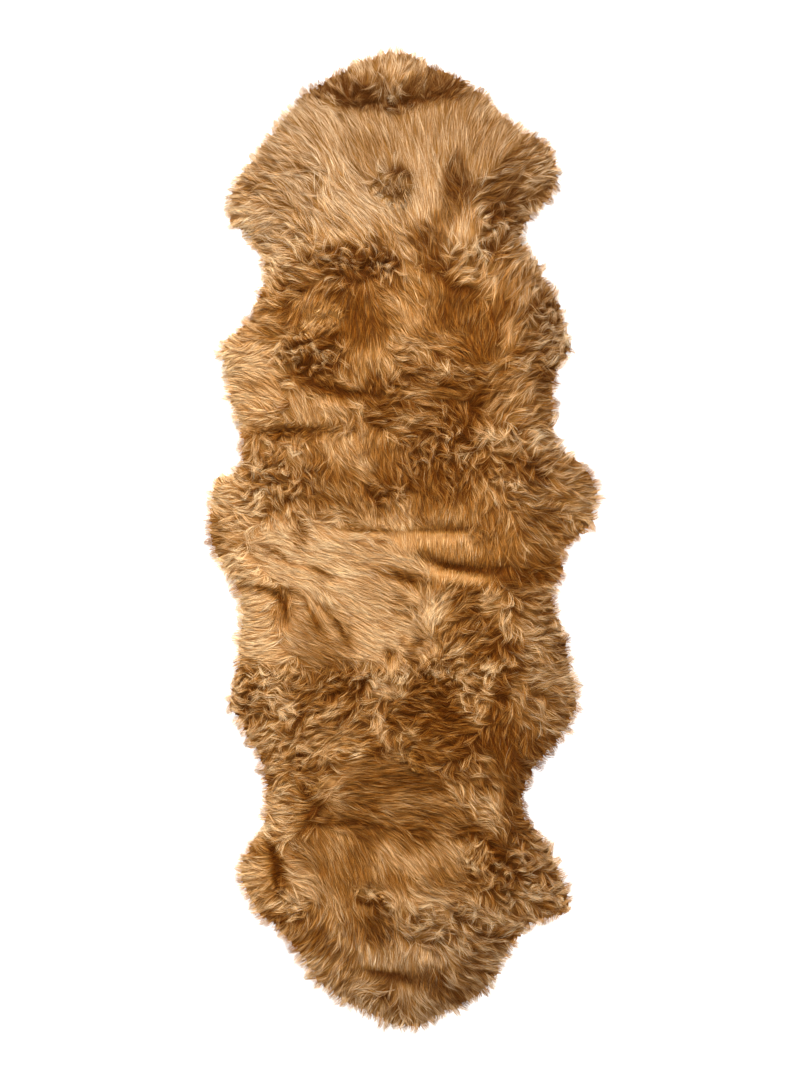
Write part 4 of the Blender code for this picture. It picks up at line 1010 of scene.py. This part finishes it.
def woolTree():
    g = Growth("wool wisps", {
        "From": "Float", "To": "Float", "Lock Gap": "Float", "Density": "Float", "Half Width": "Float",
        "Thinness": "Float", "Gather": "Float", "Curl": "Float", "Crown": "Float",
        "Seed": "Int", "Wool": "Material", "Ground": "Object",
    })
    bed, seed = g.given("Geometry"), g.given("Seed")
    ground = g.add("GeometryNodeObjectInfo", {}, {"Object": g.given("Ground")}, "Geometry")
    place = g.add("GeometryNodeInputPosition")
    normal = g.add("GeometryNodeInputNormal")
    fromSeam = g.maths("ABSOLUTE", g.part(place, "Y") - seamY)
    faceUp = g.part(normal, "Z") > 0.25
    inZone = (fromSeam > g.given("From")) * (fromSeam < g.given("To")) * faceUp

    # the tips of the locks, which the wisps round them lean to
    spread = {"Distance Min": g.given("Lock Gap"), "Density Max": wispShape["mostLocks"], "Seed": seed}
    locks = g.add(
        "GeometryNodeDistributePointsOnFaces", {"distribute_method": "POISSON"},
        {"Mesh": bed, "Selection": faceUp, **spread},
    )
    ruffle = g.read("ruffle")
    turn = g.chance(-1.0, 1.0, seed + 1) * rising(wispShape["lockTurn"], ruffle)
    combed = g.read("way", "FLOAT_VECTOR")
    lockWay = g.turned(combed, turn)
    locks = g.store(locks, "lockWay", lockWay, "FLOAT_VECTOR")
    further = place + lockWay * (g.read("pile") * wispShape["lookAhead"])
    ahead = g.turned(g.under(ground, further, combed), turn)
    locks = g.store(locks, "lockBend", (ahead - lockWay) * wispShape["bend"], "FLOAT_VECTOR")
    locks = g.store(locks, "lockRoot", place, "FLOAT_VECTOR")
    locks = g.store(locks, "lockReach", g.read("pile") * g.chance(*wispRanges["lockReach"], seed + 2))
    locks = g.store(locks, "lockLift", g.read("lift") * g.chance(*wispRanges["lockLift"], seed + 3))
    locks = g.store(locks, "lockPhase", g.chance(0.0, 6.28, seed + 4))
    locks = g.store(locks, "lockTone", g.chance(-1.0, 1.0, seed + 5))
    locks = g.store(locks, "lockRuffle", ruffle)
    lockShift = g.scatter(wispShape["lockShift"], seed + 15)
    locks = g.store(locks, "lockShift", lockShift, "FLOAT_VECTOR")
    lockCurl = rising(wispShape["curling"], ruffle) * g.chance(*wispRanges["lockCurl"], seed + 6)
    locks = g.store(locks, "lockCurl", lockCurl)

    # the roots, which take over what their lock knows
    density = g.given("Density") * g.read("crowd")
    roots = g.add(
        "GeometryNodeDistributePointsOnFaces", {"distribute_method": "RANDOM"},
        {"Mesh": bed, "Selection": inZone, "Density": density, "Seed": seed + 7},
    )
    sockets = {"Geometry": locks, "Sample Position": place}
    nearest = g.add("GeometryNodeSampleNearest", {"domain": "POINT"}, sockets)
    for name, kind in (
        ("lockWay", "FLOAT_VECTOR"), ("lockRoot", "FLOAT_VECTOR"), ("lockReach", "FLOAT"),
        ("lockLift", "FLOAT"), ("lockPhase", "FLOAT"), ("lockTone", "FLOAT"), ("lockCurl", "FLOAT"),
        ("lockRuffle", "FLOAT"), ("lockShift", "FLOAT_VECTOR"), ("lockBend", "FLOAT_VECTOR"),
    ):
        sampled = g.add(
            "GeometryNodeSampleIndex", {"data_type": kind, "domain": "POINT"},
            {"Geometry": locks, "Value": g.read(name, kind), "Index": nearest},
        )
        roots = g.store(roots, name, sampled, kind)
    roots = g.store(roots, "root", place, "FLOAT_VECTOR")
    # how far the root stands from the middle line of its lock, as a share of its half width
    up = (0.0, 0.0, 1.0)
    aside = g.vectorMaths("CROSS_PRODUCT", g.read("lockWay", "FLOAT_VECTOR"), up)
    offset = place - g.read("lockRoot", "FLOAT_VECTOR")
    halfLock = g.given("Lock Gap") * wispShape["lockHalf"]
    fromMiddle = g.vectorMaths("DOT_PRODUCT", aside, offset, out="Value") / halfLock
    roots = g.store(roots, "crown", g.add("ShaderNodeClamp", {}, {"Value": 1.0 - fromMiddle * fromMiddle}))
    ownTurn = g.scatter(1.0, seed + 8) * rising(wispShape["ownTurn"], ruffle)
    ownWay = g.read("lockWay", "FLOAT_VECTOR") + ownTurn
    roots = g.store(roots, "ownWay", g.vectorMaths("NORMALIZE", ownWay), "FLOAT_VECTOR")
    ownReach = g.read("lockReach") * g.chance(*wispRanges["ownReach"], seed + 9)
    roots = g.store(roots, "ownReach", ownReach)
    roots = g.store(roots, "ownHeight", g.chance(0.0, 1.0, seed + 10))
    wide = g.chance(*wispRanges["ownWidth"], seed + 11) * (1.25 - 0.55 * g.read("ownHeight"))
    roots = g.store(roots, "ownWidth", wide * (1.08 - 0.42 * ruffle + 0.3 * g.read("rim")))
    roots = g.store(roots, "ownTone", g.chance(-1.0, 1.0, seed + 12))
    ownShift = g.scatter(wispShape["ownShift"], seed + 14)
    roots = g.store(roots, "shift", ownShift + g.read("lockShift", "FLOAT_VECTOR"), "FLOAT_VECTOR")
    roots = g.store(roots, "ownPhase", g.chance(*wispRanges["ownPhase"], seed + 13))
    # whether this wisp takes the greyer colours of painted sheen
    roots = g.store(roots, "ownDull", g.chance(0.0, 1.0, seed + 16) < g.read("dull"))

    # one bare line at each root, of four points where the wool is ruffled and of three elsewhere
    ends = {"Start": (0.0, 0.0, 0.0), "End": (0.0, 0.0, 0.01)}
    straight = g.add("GeometryNodeCurvePrimitiveLine", {}, ends)
    ruffled = wispShape["ruffledFrom"]
    planted = []
    for count, chosen in ((3, g.read("ruffle") < ruffled), (4, g.read("ruffle") > ruffled)):
        wisp = g.add("GeometryNodeResampleCurve", {}, {"Curve": straight, "Count": count})
        sockets = {"Points": roots, "Selection": chosen, "Instance": wisp}
        planted.append(g.add("GeometryNodeInstanceOnPoints", {}, sockets))
    both = g.add("GeometryNodeJoinGeometry", {}, {"Geometry": planted})
    wisps = g.add("GeometryNodeRealizeInstances", {}, {"Geometry": both})
    along = g.add("GeometryNodeSplineParameter")
    wisps = g.store(wisps, "along", along)

    # its path over the undercoat, drawn in towards the lock's tip
    t = g.read("along")
    way, lockWay = g.read("ownWay", "FLOAT_VECTOR"), g.read("lockWay", "FLOAT_VECTOR")
    bend = g.read("lockBend", "FLOAT_VECTOR") * t
    behind = way * (g.read("back") * (1.0 - t))
    own = g.read("root", "FLOAT_VECTOR") + (way + bend) * (g.read("ownReach") * t) - behind
    lock = g.read("lockRoot", "FLOAT_VECTOR") + (lockWay + bend) * (g.read("lockReach") * t)
    gather = g.given("Gather") * rising(wispShape["gathering"], g.read("lockRuffle"))
    gather = gather * t ** 1.25 * (1.0 - 0.5 * g.read("rim"))
    path = own + (lock - own) * gather
    side = g.vectorMaths("CROSS_PRODUCT", lockWay, up)
    phase = g.read("lockPhase") + g.read("ownPhase")
    curled = phase + t * wispShape["curlTurn"]
    swing = (g.maths("SINE", curled) - g.maths("SINE", phase)) * t * g.given("Curl") * g.read("lockCurl")
    path = path + side * swing
    under = g.under(ground, path, place)
    shifted = path + g.read("shift", "FLOAT_VECTOR")
    wisps = g.store(wisps, "patchTone", g.under(ground, shifted, g.read("tone"), "FLOAT"))
    # how high it lies there, lower where it hangs over the rim
    beyond = g.vectorMaths("LENGTH", (path - under) * (1.0, 1.0, 0.0), out="Value")
    rise = t * (2.0 - t) - 0.45 * t ** 3
    loose = rising(wispShape["loose"], g.read("lockRuffle"))
    ownRise = g.read("ownHeight") * wispShape["ownRise"] * loose * rise
    height = g.part(under, "Z") + g.read("lockLift") * rise + ownRise - beyond * wispShape["droop"]
    height = height + g.read("crown") * g.given("Crown") * loose * rise
    wave = (g.maths("COSINE", curled) + 1.0) * t * g.given("Curl") * g.read("lockCurl")
    height = height + wave * wispShape["curlHeight"]
    height = g.maths("MAXIMUM", height, wispShape["leastHeight"])
    flatX = g.part(path, "X")
    lifted = g.vector(flatX, flatX.other("Y"), height)
    moved = g.add("GeometryNodeSetPosition", {}, {"Geometry": wisps, "Position": lifted})
    upright = g.add("GeometryNodeSetCurveNormal", {"mode": "Z_UP"}, {"Curve": moved})

    # a flat three-sided profile, which tapers to nothing at the tip
    ring = g.add("GeometryNodeCurvePrimitiveCircle", {}, {"Resolution": 3, "Radius": 1.0})
    ring = g.store(ring, "across", g.part(place, "Y"))
    pressed = place * g.vector(g.given("Thinness"), wispShape["flare"], 1.0)
    ring = g.add("GeometryNodeSetPosition", {}, {"Geometry": ring, "Position": pressed})
    width = g.given("Half Width") * g.read("ownWidth") * (1.0 - t ** wispShape["taper"]) * (0.5 + 0.75 * t)
    sockets = {"Curve": upright, "Profile Curve": ring, "Scale": width, "Fill Caps": True}
    body = g.add("GeometryNodeCurveToMesh", {}, sockets)
    body = g.add("GeometryNodeMergeByDistance", {}, {"Geometry": body, "Distance": wispShape["weld"]})

    # u holds how pale the wool is, v which fibre this is, so that fibres run along the wisp. The wisps
    # with the greyer colours of painted sheen have v above 0.5
    grain = wispShade["lock"] * g.read("lockTone") + wispShade["wisp"] * g.read("ownTone")
    # painted light on the middle of a lock, painted shade at its sides
    grain = grain + wispShade["crown"] * (g.read("crown") - 0.62)
    rough = g.read("lockRuffle") ** 0.7
    shade = wispShade["middle"] + wispShade["patch"] * g.read("patchTone")
    shade = shade + grain * rising(wispShade["contrast"], rough)
    # paler tips and darker roots: partly the wool's own, partly painted shade in the gaps at the roots
    shade = shade + rising(wispShade["tips"], rough) * (t - 0.55)
    # painted shade on the lower wisps, painted light on the highest
    shade = shade + rising(wispShade["lowWispShade"], rough) * (g.read("ownHeight") - 0.5)
    # painted light on the rim tips, for light through the thin fringe
    shade = shade + wispShade["rimTipLight"] * t * g.read("rim")
    limits = {"Min": wispShade["least"], "Max": wispShade["most"]}
    shade = g.add("ShaderNodeClamp", {}, {"Value": shade, **limits})
    fibre = 0.25 + 0.235 * g.read("ownTone") + 0.007 * g.read("across") + 0.5 * g.read("ownDull")
    body = g.store(body, "OFBake", g.vector(shade, fibre, 0.0), "FLOAT2", "CORNER")
    body = g.add("GeometryNodeSetShadeSmooth", {}, {"Geometry": body})
    g.finish(body, g.given("Wool"))
    return g.tree


# seam

stitchSizes = {
    "Pitch": 0.0055,
    "Reach": 0.0040,  # how far a stitch goes in from the seam
    "Slant": 0.0016,
    "Thread": 0.00038,  # half its thickness
    "Seed": 9,
}
stitchSink = 0.0007  # how far its ends sink into the leather
stitchTurn = 0.16  # radians, how unevenly the stitches lie
seamEnd = 0.003  # how far they stop short of the ends of the seam


def stitchTree():
    g = Growth("overcast stitches", {
        "Left": "Float", "Right": "Float", "Pitch": "Float", "Reach": "Float", "Slant": "Float",
        "Thread": "Float", "Seed": "Int", "Yarn": "Material",
    })
    ends = {"Start": g.vector(g.given("Left"), seamY, 0.0), "End": g.vector(g.given("Right"), seamY, 0.0)}
    line = g.add("GeometryNodeCurvePrimitiveLine", {}, ends)
    sockets = {"Curve": line, "Length": g.given("Pitch")}
    places = g.add("GeometryNodeResampleCurve", {"mode": "LENGTH"}, sockets)
    half = g.vector(g.given("Slant"), g.given("Reach"), 0.0)
    thread = g.add("GeometryNodeCurvePrimitiveLine", {}, {"Start": half * -1.0, "End": half})
    thread = g.add("GeometryNodeResampleCurve", {}, {"Curve": thread, "Count": 6})
    t = g.add("GeometryNodeSplineParameter")
    sink = stitchSink * (2.0 * t - 1.0) ** 4.0
    thread = g.add("GeometryNodeSetPosition", {}, {"Geometry": thread, "Offset": g.vector(0.0, 0.0, sink)})
    ring = g.add("GeometryNodeCurvePrimitiveCircle", {}, {"Resolution": 6, "Radius": g.given("Thread")})
    body = g.add("GeometryNodeCurveToMesh", {}, {"Curve": thread, "Profile Curve": ring, "Fill Caps": True})
    body = g.add("GeometryNodeSetShadeSmooth", {}, {"Geometry": body})
    least, most = (0.0, 0.0, -stitchTurn), (0.0, 0.0, stitchTurn)
    turn = g.chance(least, most, g.given("Seed"), "FLOAT_VECTOR")
    sockets = {"Points": places, "Instance": body, "Rotation": turn}
    sewn = g.add("GeometryNodeInstanceOnPoints", {}, sockets)
    g.finish(sewn, g.given("Yarn"))
    return g.tree


# materials


def newMaterial(name, constants):
    material = bpy.data.materials.new(name)
    material.use_nodes = True
    graph = Graph(material.node_tree)
    shader = graph.add("ShaderNodeBsdfPrincipled")
    for label, value in constants.items():
        shader.socket.node.inputs[label].default_value = value
    graph.add("ShaderNodeOutputMaterial", {}, {"Surface": shader})
    return material, graph, shader.socket.node


def plug(graph, shader, label, wire):
    graph.tree.links.new(wire.socket, shader.inputs[label])


def grainOf(graph, spot, scale, detail, distortion=0.0):
    sockets = {"Vector": spot, "Scale": scale, "Detail": detail, "Distortion": distortion}
    return graph.add("ShaderNodeTexNoise", {}, sockets)


def dye(graph, shader, stops, level):
    # a ramp of colours into Base Color
    colour = graph.add("ShaderNodeValToRGB", {"stops": stops}, {"Fac": level}, "Color")
    plug(graph, shader, "Base Color", colour)


def emboss(graph, shader, strength, distance, height):
    sockets = {"Strength": strength, "Distance": distance, "Height": height}
    plug(graph, shader, "Normal", graph.add("ShaderNodeBump", {}, sockets, "Normal"))


woolFinish = {
    "fibres": 120.0,  # how fine the lines along the wisps are
    "fibreContrast": 0.86,
    "bump": 0.35,
    "tufts": 160.0,  # the grain of the undercoat, and the wide clouds on it
    "clouds": 24.0,
    "stops": [
        (0.00, (0.120, 0.026, 0.001)),
        (0.20, (0.262, 0.078, 0.003)),
        (0.40, (0.447, 0.185, 0.033)),
        (0.60, (0.635, 0.345, 0.122)),
        (0.80, (0.850, 0.544, 0.250)),
        (1.00, (0.945, 0.725, 0.425)),
    ],
    # greyer colours, painted sheen of the light on the wool
    "sheenStops": [
        (0.00, (0.095, 0.028, 0.004)),
        (0.20, (0.212, 0.084, 0.018)),
        (0.40, (0.372, 0.190, 0.064)),
        (0.60, (0.560, 0.352, 0.178)),
        (0.80, (0.750, 0.545, 0.325)),
        (1.00, (0.890, 0.735, 0.500)),
    ],
    # the undercoat shows only deep in the gaps, so its colours are darkened as painted shade
    "underShadeStops": [
        (0.00, (0.070, 0.020, 0.001)),
        (0.50, (0.190, 0.086, 0.018)),
        (1.00, (0.460, 0.250, 0.095)),
    ],
}


def woolMaterial():
    material, graph, shader = newMaterial("golden wool", {"Specular IOR Level": 0.05, "IOR": 1.5})
    spot = graph.add("ShaderNodeUVMap", {"uv_map": "OFBake"})
    shade = graph.add("ShaderNodeSeparateXYZ", {}, {0: spot})
    lined = {"X": shade * 2.5, "Y": shade.other("Y") * woolFinish["fibres"]}
    sockets = {"Vector": graph.add("ShaderNodeCombineXYZ", {}, lined), "Scale": 1.0, "Detail": 2.0}
    fibre = graph.add("ShaderNodeTexNoise", {"noise_dimensions": "2D"}, sockets)
    level = shade + (fibre - 0.5) * woolFinish["fibreContrast"]
    golden = graph.add("ShaderNodeValToRGB", {"stops": woolFinish["stops"]}, {"Fac": level}, "Color")
    dull = graph.add("ShaderNodeValToRGB", {"stops": woolFinish["sheenStops"]}, {"Fac": level}, "Color")
    # v above 0.5 takes the greyer colours of painted sheen
    mixed = {"Factor": shade.other("Y") > 0.5, "A": golden, "B": dull}
    plug(graph, shader, "Base Color", graph.add("ShaderNodeMix", {"data_type": "RGBA"}, mixed, "Result"))
    plug(graph, shader, "Roughness", 0.5 + fibre * 0.22)
    emboss(graph, shader, woolFinish["bump"], 0.0005, fibre)
    return material


def underwoolMaterial():
    material, graph, shader = newMaterial("underwool", {"Specular IOR Level": 0.1})
    spot = graph.add("ShaderNodeTexCoord", {}, {}, "Object")
    tuft = grainOf(graph, spot, woolFinish["tufts"], 4.0, 1.2)
    wide = grainOf(graph, spot, woolFinish["clouds"], 2.0)
    tone = graph.add("ShaderNodeAttribute", {"attribute_name": "tone"}, {}, "Fac")
    ruffle = graph.add("ShaderNodeAttribute", {"attribute_name": "ruffle"}, {}, "Fac")
    # painted shade: darker where the wool is ruffled or parted; the tone also carries the painted shade and
    # light of rucks, partings and rim
    level = 0.50 + tone * 0.55 - ruffle * 0.35 + (tuft - 0.5) * 0.35 + (wide - 0.5) * 0.1
    dye(graph, shader, woolFinish["underShadeStops"], level)
    plug(graph, shader, "Roughness", 0.8 + tuft * 0.15)
    emboss(graph, shader, 0.8, 0.0015, tuft)
    return material


suedeFinish = {
    "clouds": 9.0,
    "nap": 900.0,
    "veins": 38.0,
    "bump": 0.4,
    "sheen": 0.25,
    "stops": [(0.25, (0.40, 0.29, 0.18)), (0.5, (0.56, 0.44, 0.30)), (0.75, (0.70, 0.58, 0.43))],
}


def suedeMaterial():
    constants = {"Sheen Weight": suedeFinish["sheen"], "Sheen Roughness": 0.5, "IOR": 1.4}
    material, graph, shader = newMaterial("suede", constants)
    spot = graph.add("ShaderNodeTexCoord", {}, {}, "Object")
    cloud = grainOf(graph, spot, suedeFinish["clouds"], 5.0, 0.6)
    nap = grainOf(graph, spot * (1.0, 0.35, 1.0), suedeFinish["nap"], 3.0)
    sockets = {"Vector": spot + cloud * 0.05, "Scale": suedeFinish["veins"]}
    vein = graph.add("ShaderNodeTexVoronoi", {"feature": "DISTANCE_TO_EDGE"}, sockets)
    level = cloud * 0.62 + nap * 0.3 + 0.06
    dye(graph, shader, suedeFinish["stops"], level)
    plug(graph, shader, "Roughness", 0.82 + nap * 0.12)
    emboss(graph, shader, suedeFinish["bump"], 0.0008, nap * 0.5 + cloud * 0.4 + vein * 0.6)
    return material


yarnFinish = {
    "ply": 2600.0,
    "bump": 0.5,
    "stops": [(0.3, (0.46, 0.36, 0.24)), (0.7, (0.74, 0.64, 0.48))],
}


def yarnMaterial():
    material, graph, shader = newMaterial("waxed yarn", {"IOR": 1.45})
    spot = graph.add("ShaderNodeTexCoord", {}, {}, "Object")
    ply = grainOf(graph, spot * (1.0, 0.3, 1.0), yarnFinish["ply"], 2.0)
    dye(graph, shader, yarnFinish["stops"], ply)
    plug(graph, shader, "Roughness", 0.5 + ply * 0.2)
    emboss(graph, shader, yarnFinish["bump"], 0.0002, ply)
    return material


# building

zones = {"rump": (0.0, 0.245), "back": (0.245, 0.520), "neck": (0.520, 1.0)}  # from the seam
skinThick = 0.0018
netSizes = {"loop": 0.008, "hide": 0.016, "undercoat": 0.0072, "bed": 0.0042}  # lengths of edges


def joinedCopy(name, pieces):
    # one mesh of several, kept only while the wool is grown over it
    bpy.ops.object.select_all(action="DESELECT")
    copies = []
    for piece in pieces:
        copy = piece.copy()
        copy.data = piece.data.copy()
        bpy.context.scene.collection.objects.link(copy)
        copy.select_set(True)
        copies.append(copy)
    bpy.context.view_layer.objects.active = copies[0]
    bpy.ops.object.join()
    copies[0].name = name
    return copies[0]


def triangleCount(piece):
    return sum(len(face.vertices) - 2 for face in piece.data.polygons)


wool, underwool, suede = woolMaterial(), underwoolMaterial(), suedeMaterial()
tree = woolTree()
report("materials and trees")
fleeceTrees = [
    BVHTree.FromPolygons([vert.co for vert in mesh.vertices], [face.vertices for face in mesh.polygons])
    for mesh in (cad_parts[f"{pelt}_fleece"].data for pelt in ("upper", "lower"))
]
loops = {
    pelt: evenLoop(smoothLoop(skinLoop(f"{pelt}_skin"), 3), netSizes["loop"])
    for pelt in ("upper", "lower")
}
beds = {
    pelt: growUndercoat(f"{pelt}_bed", pelt, loop, netSizes["bed"], woolLie["rootReach"], 0.0)
    for pelt, loop in loops.items()
}
ground = joinedCopy("ground", list(beds.values()))
report("fine beds, which are only there while the wool is grown")

for pelt, loop in loops.items():
    flat, faces = filledLoop(loop, netSizes["hide"])
    skin = closedSheet(f"{pelt}_hide", flat, faces, np.full(len(flat), skinThick), 0.0)
    skin.data.materials.append(suede)
    undercoat = growUndercoat(
        f"{pelt}_undercoat", pelt, loop, netSizes["undercoat"], woolLie["underwoolReach"], woolLie["ragged"]
    )
    undercoat.data.materials.append(underwool)
    wools = []
    for zone, (low, high) in zones.items():
        values = {**woolSizes, "From": low, "To": high, "Wool": wool, "Ground": ground}
        piece = grown(beds[pelt], tree, f"{pelt}_{zone}_wool", values)
        report(f"{piece.name}, {triangleCount(piece)} triangles")
        wools.append(piece)
    for piece in [skin, undercoat, *wools]:
        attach(piece, "root")
    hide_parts(f"{pelt}_skin")
    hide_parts(f"{pelt}_fleece")
    for piece in wools:
        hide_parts(f"{pelt}_fleece")

# the stitches run as far as both skins reach
onSeam = [loop[atSeam(loop, 0.001), 0] for loop in loops.values()]
seamEnds = {
    "Left": float(max(x.min() for x in onSeam)) + seamEnd,
    "Right": float(min(x.max() for x in onSeam)) - seamEnd,
}
stitches = grown(ground, stitchTree(), "seam_stitches", {**stitchSizes, **seamEnds, "Yarn": yarnMaterial()})
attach(stitches, "root")
report(f"{stitches.name}, {triangleCount(stitches)} triangles")
for spare in (ground, *beds.values()):
    bpy.data.objects.remove(spare)

# floor, light and camera

studio = {
    "lens": 85.0,
    "sensor": 36.0,
    "frameHeight": 1.9459,  # metres in the height of the picture, at the level of the wool
    "frameMiddle": (-0.00365, 0.0091),
    "woolLevel": 0.02,
    "keyPlace": (-0.25, 2.3, 2.7),
    "keySize": 1.6,
    "keyPower": 195.0,
    "fillPlace": (0.4, -1.6, 3.2),
    "fillSize": 2.4,
    "fillPower": 48.0,
    "sky": 1.34,
    "floorHalf": 6.0,
    "floorDrop": 0.0005,  # so that the hides don't lie in the floor
    "paperShade": (0.93, 0.93, 0.93, 1.0),
    "paperGlow": 0.35,  # stands for light from under the white ground
}


def placeLight(name, place, size, power, colour):
    # a round lamp that shines on the middle of the rug
    lamp = bpy.data.lights.new(name, "AREA")
    lamp.shape = "DISK"
    lamp.size = size
    lamp.energy = power
    lamp.color = colour
    holder = bpy.data.objects.new(name, lamp)
    holder.location = place
    holder.rotation_euler = (-Vector(place)).to_track_quat("-Z", "Y").to_euler()
    bpy.context.scene.collection.objects.link(holder)


floorMesh = bpy.data.meshes.new("floor")
half = studio["floorHalf"]
corners = [(-half, -half, 0), (half, -half, 0), (half, half, 0), (-half, half, 0)]
floorMesh.from_pydata(corners, [], [(0, 1, 2, 3)])
floor = bpy.data.objects.new("floor", floorMesh)
floor.location.z = -studio["floorDrop"]
bpy.context.scene.collection.objects.link(floor)
paper = newMaterial("white paper", {
    "Base Color": studio["paperShade"], "Roughness": 0.9,
    "Emission Color": (1.0, 1.0, 1.0, 1.0), "Emission Strength": studio["paperGlow"],
})[0]
floorMesh.materials.append(paper)

placeLight("key", studio["keyPlace"], studio["keySize"], studio["keyPower"], (1.0, 0.985, 0.96))
placeLight("fill", studio["fillPlace"], studio["fillSize"], studio["fillPower"], (0.97, 0.98, 1.0))
world = bpy.data.worlds.new("studio")
bpy.context.scene.world = world
world.use_nodes = True
background = world.node_tree.nodes["Background"]
background.inputs["Color"].default_value = (1.0, 1.0, 1.0, 1.0)
background.inputs["Strength"].default_value = studio["sky"]

lens = bpy.data.cameras.new("camera")
lens.lens = studio["lens"]
lens.sensor_width = studio["sensor"]
camera = bpy.data.objects.new("camera", lens)
distance = studio["frameHeight"] / 2 / (studio["sensor"] / 2 / studio["lens"])
camera.location = (*studio["frameMiddle"], distance + studio["woolLevel"])
bpy.context.scene.collection.objects.link(camera)
bpy.context.scene.camera = camera
bpy.context.scene.view_settings.view_transform = "Standard"
report("stage, lights and camera")
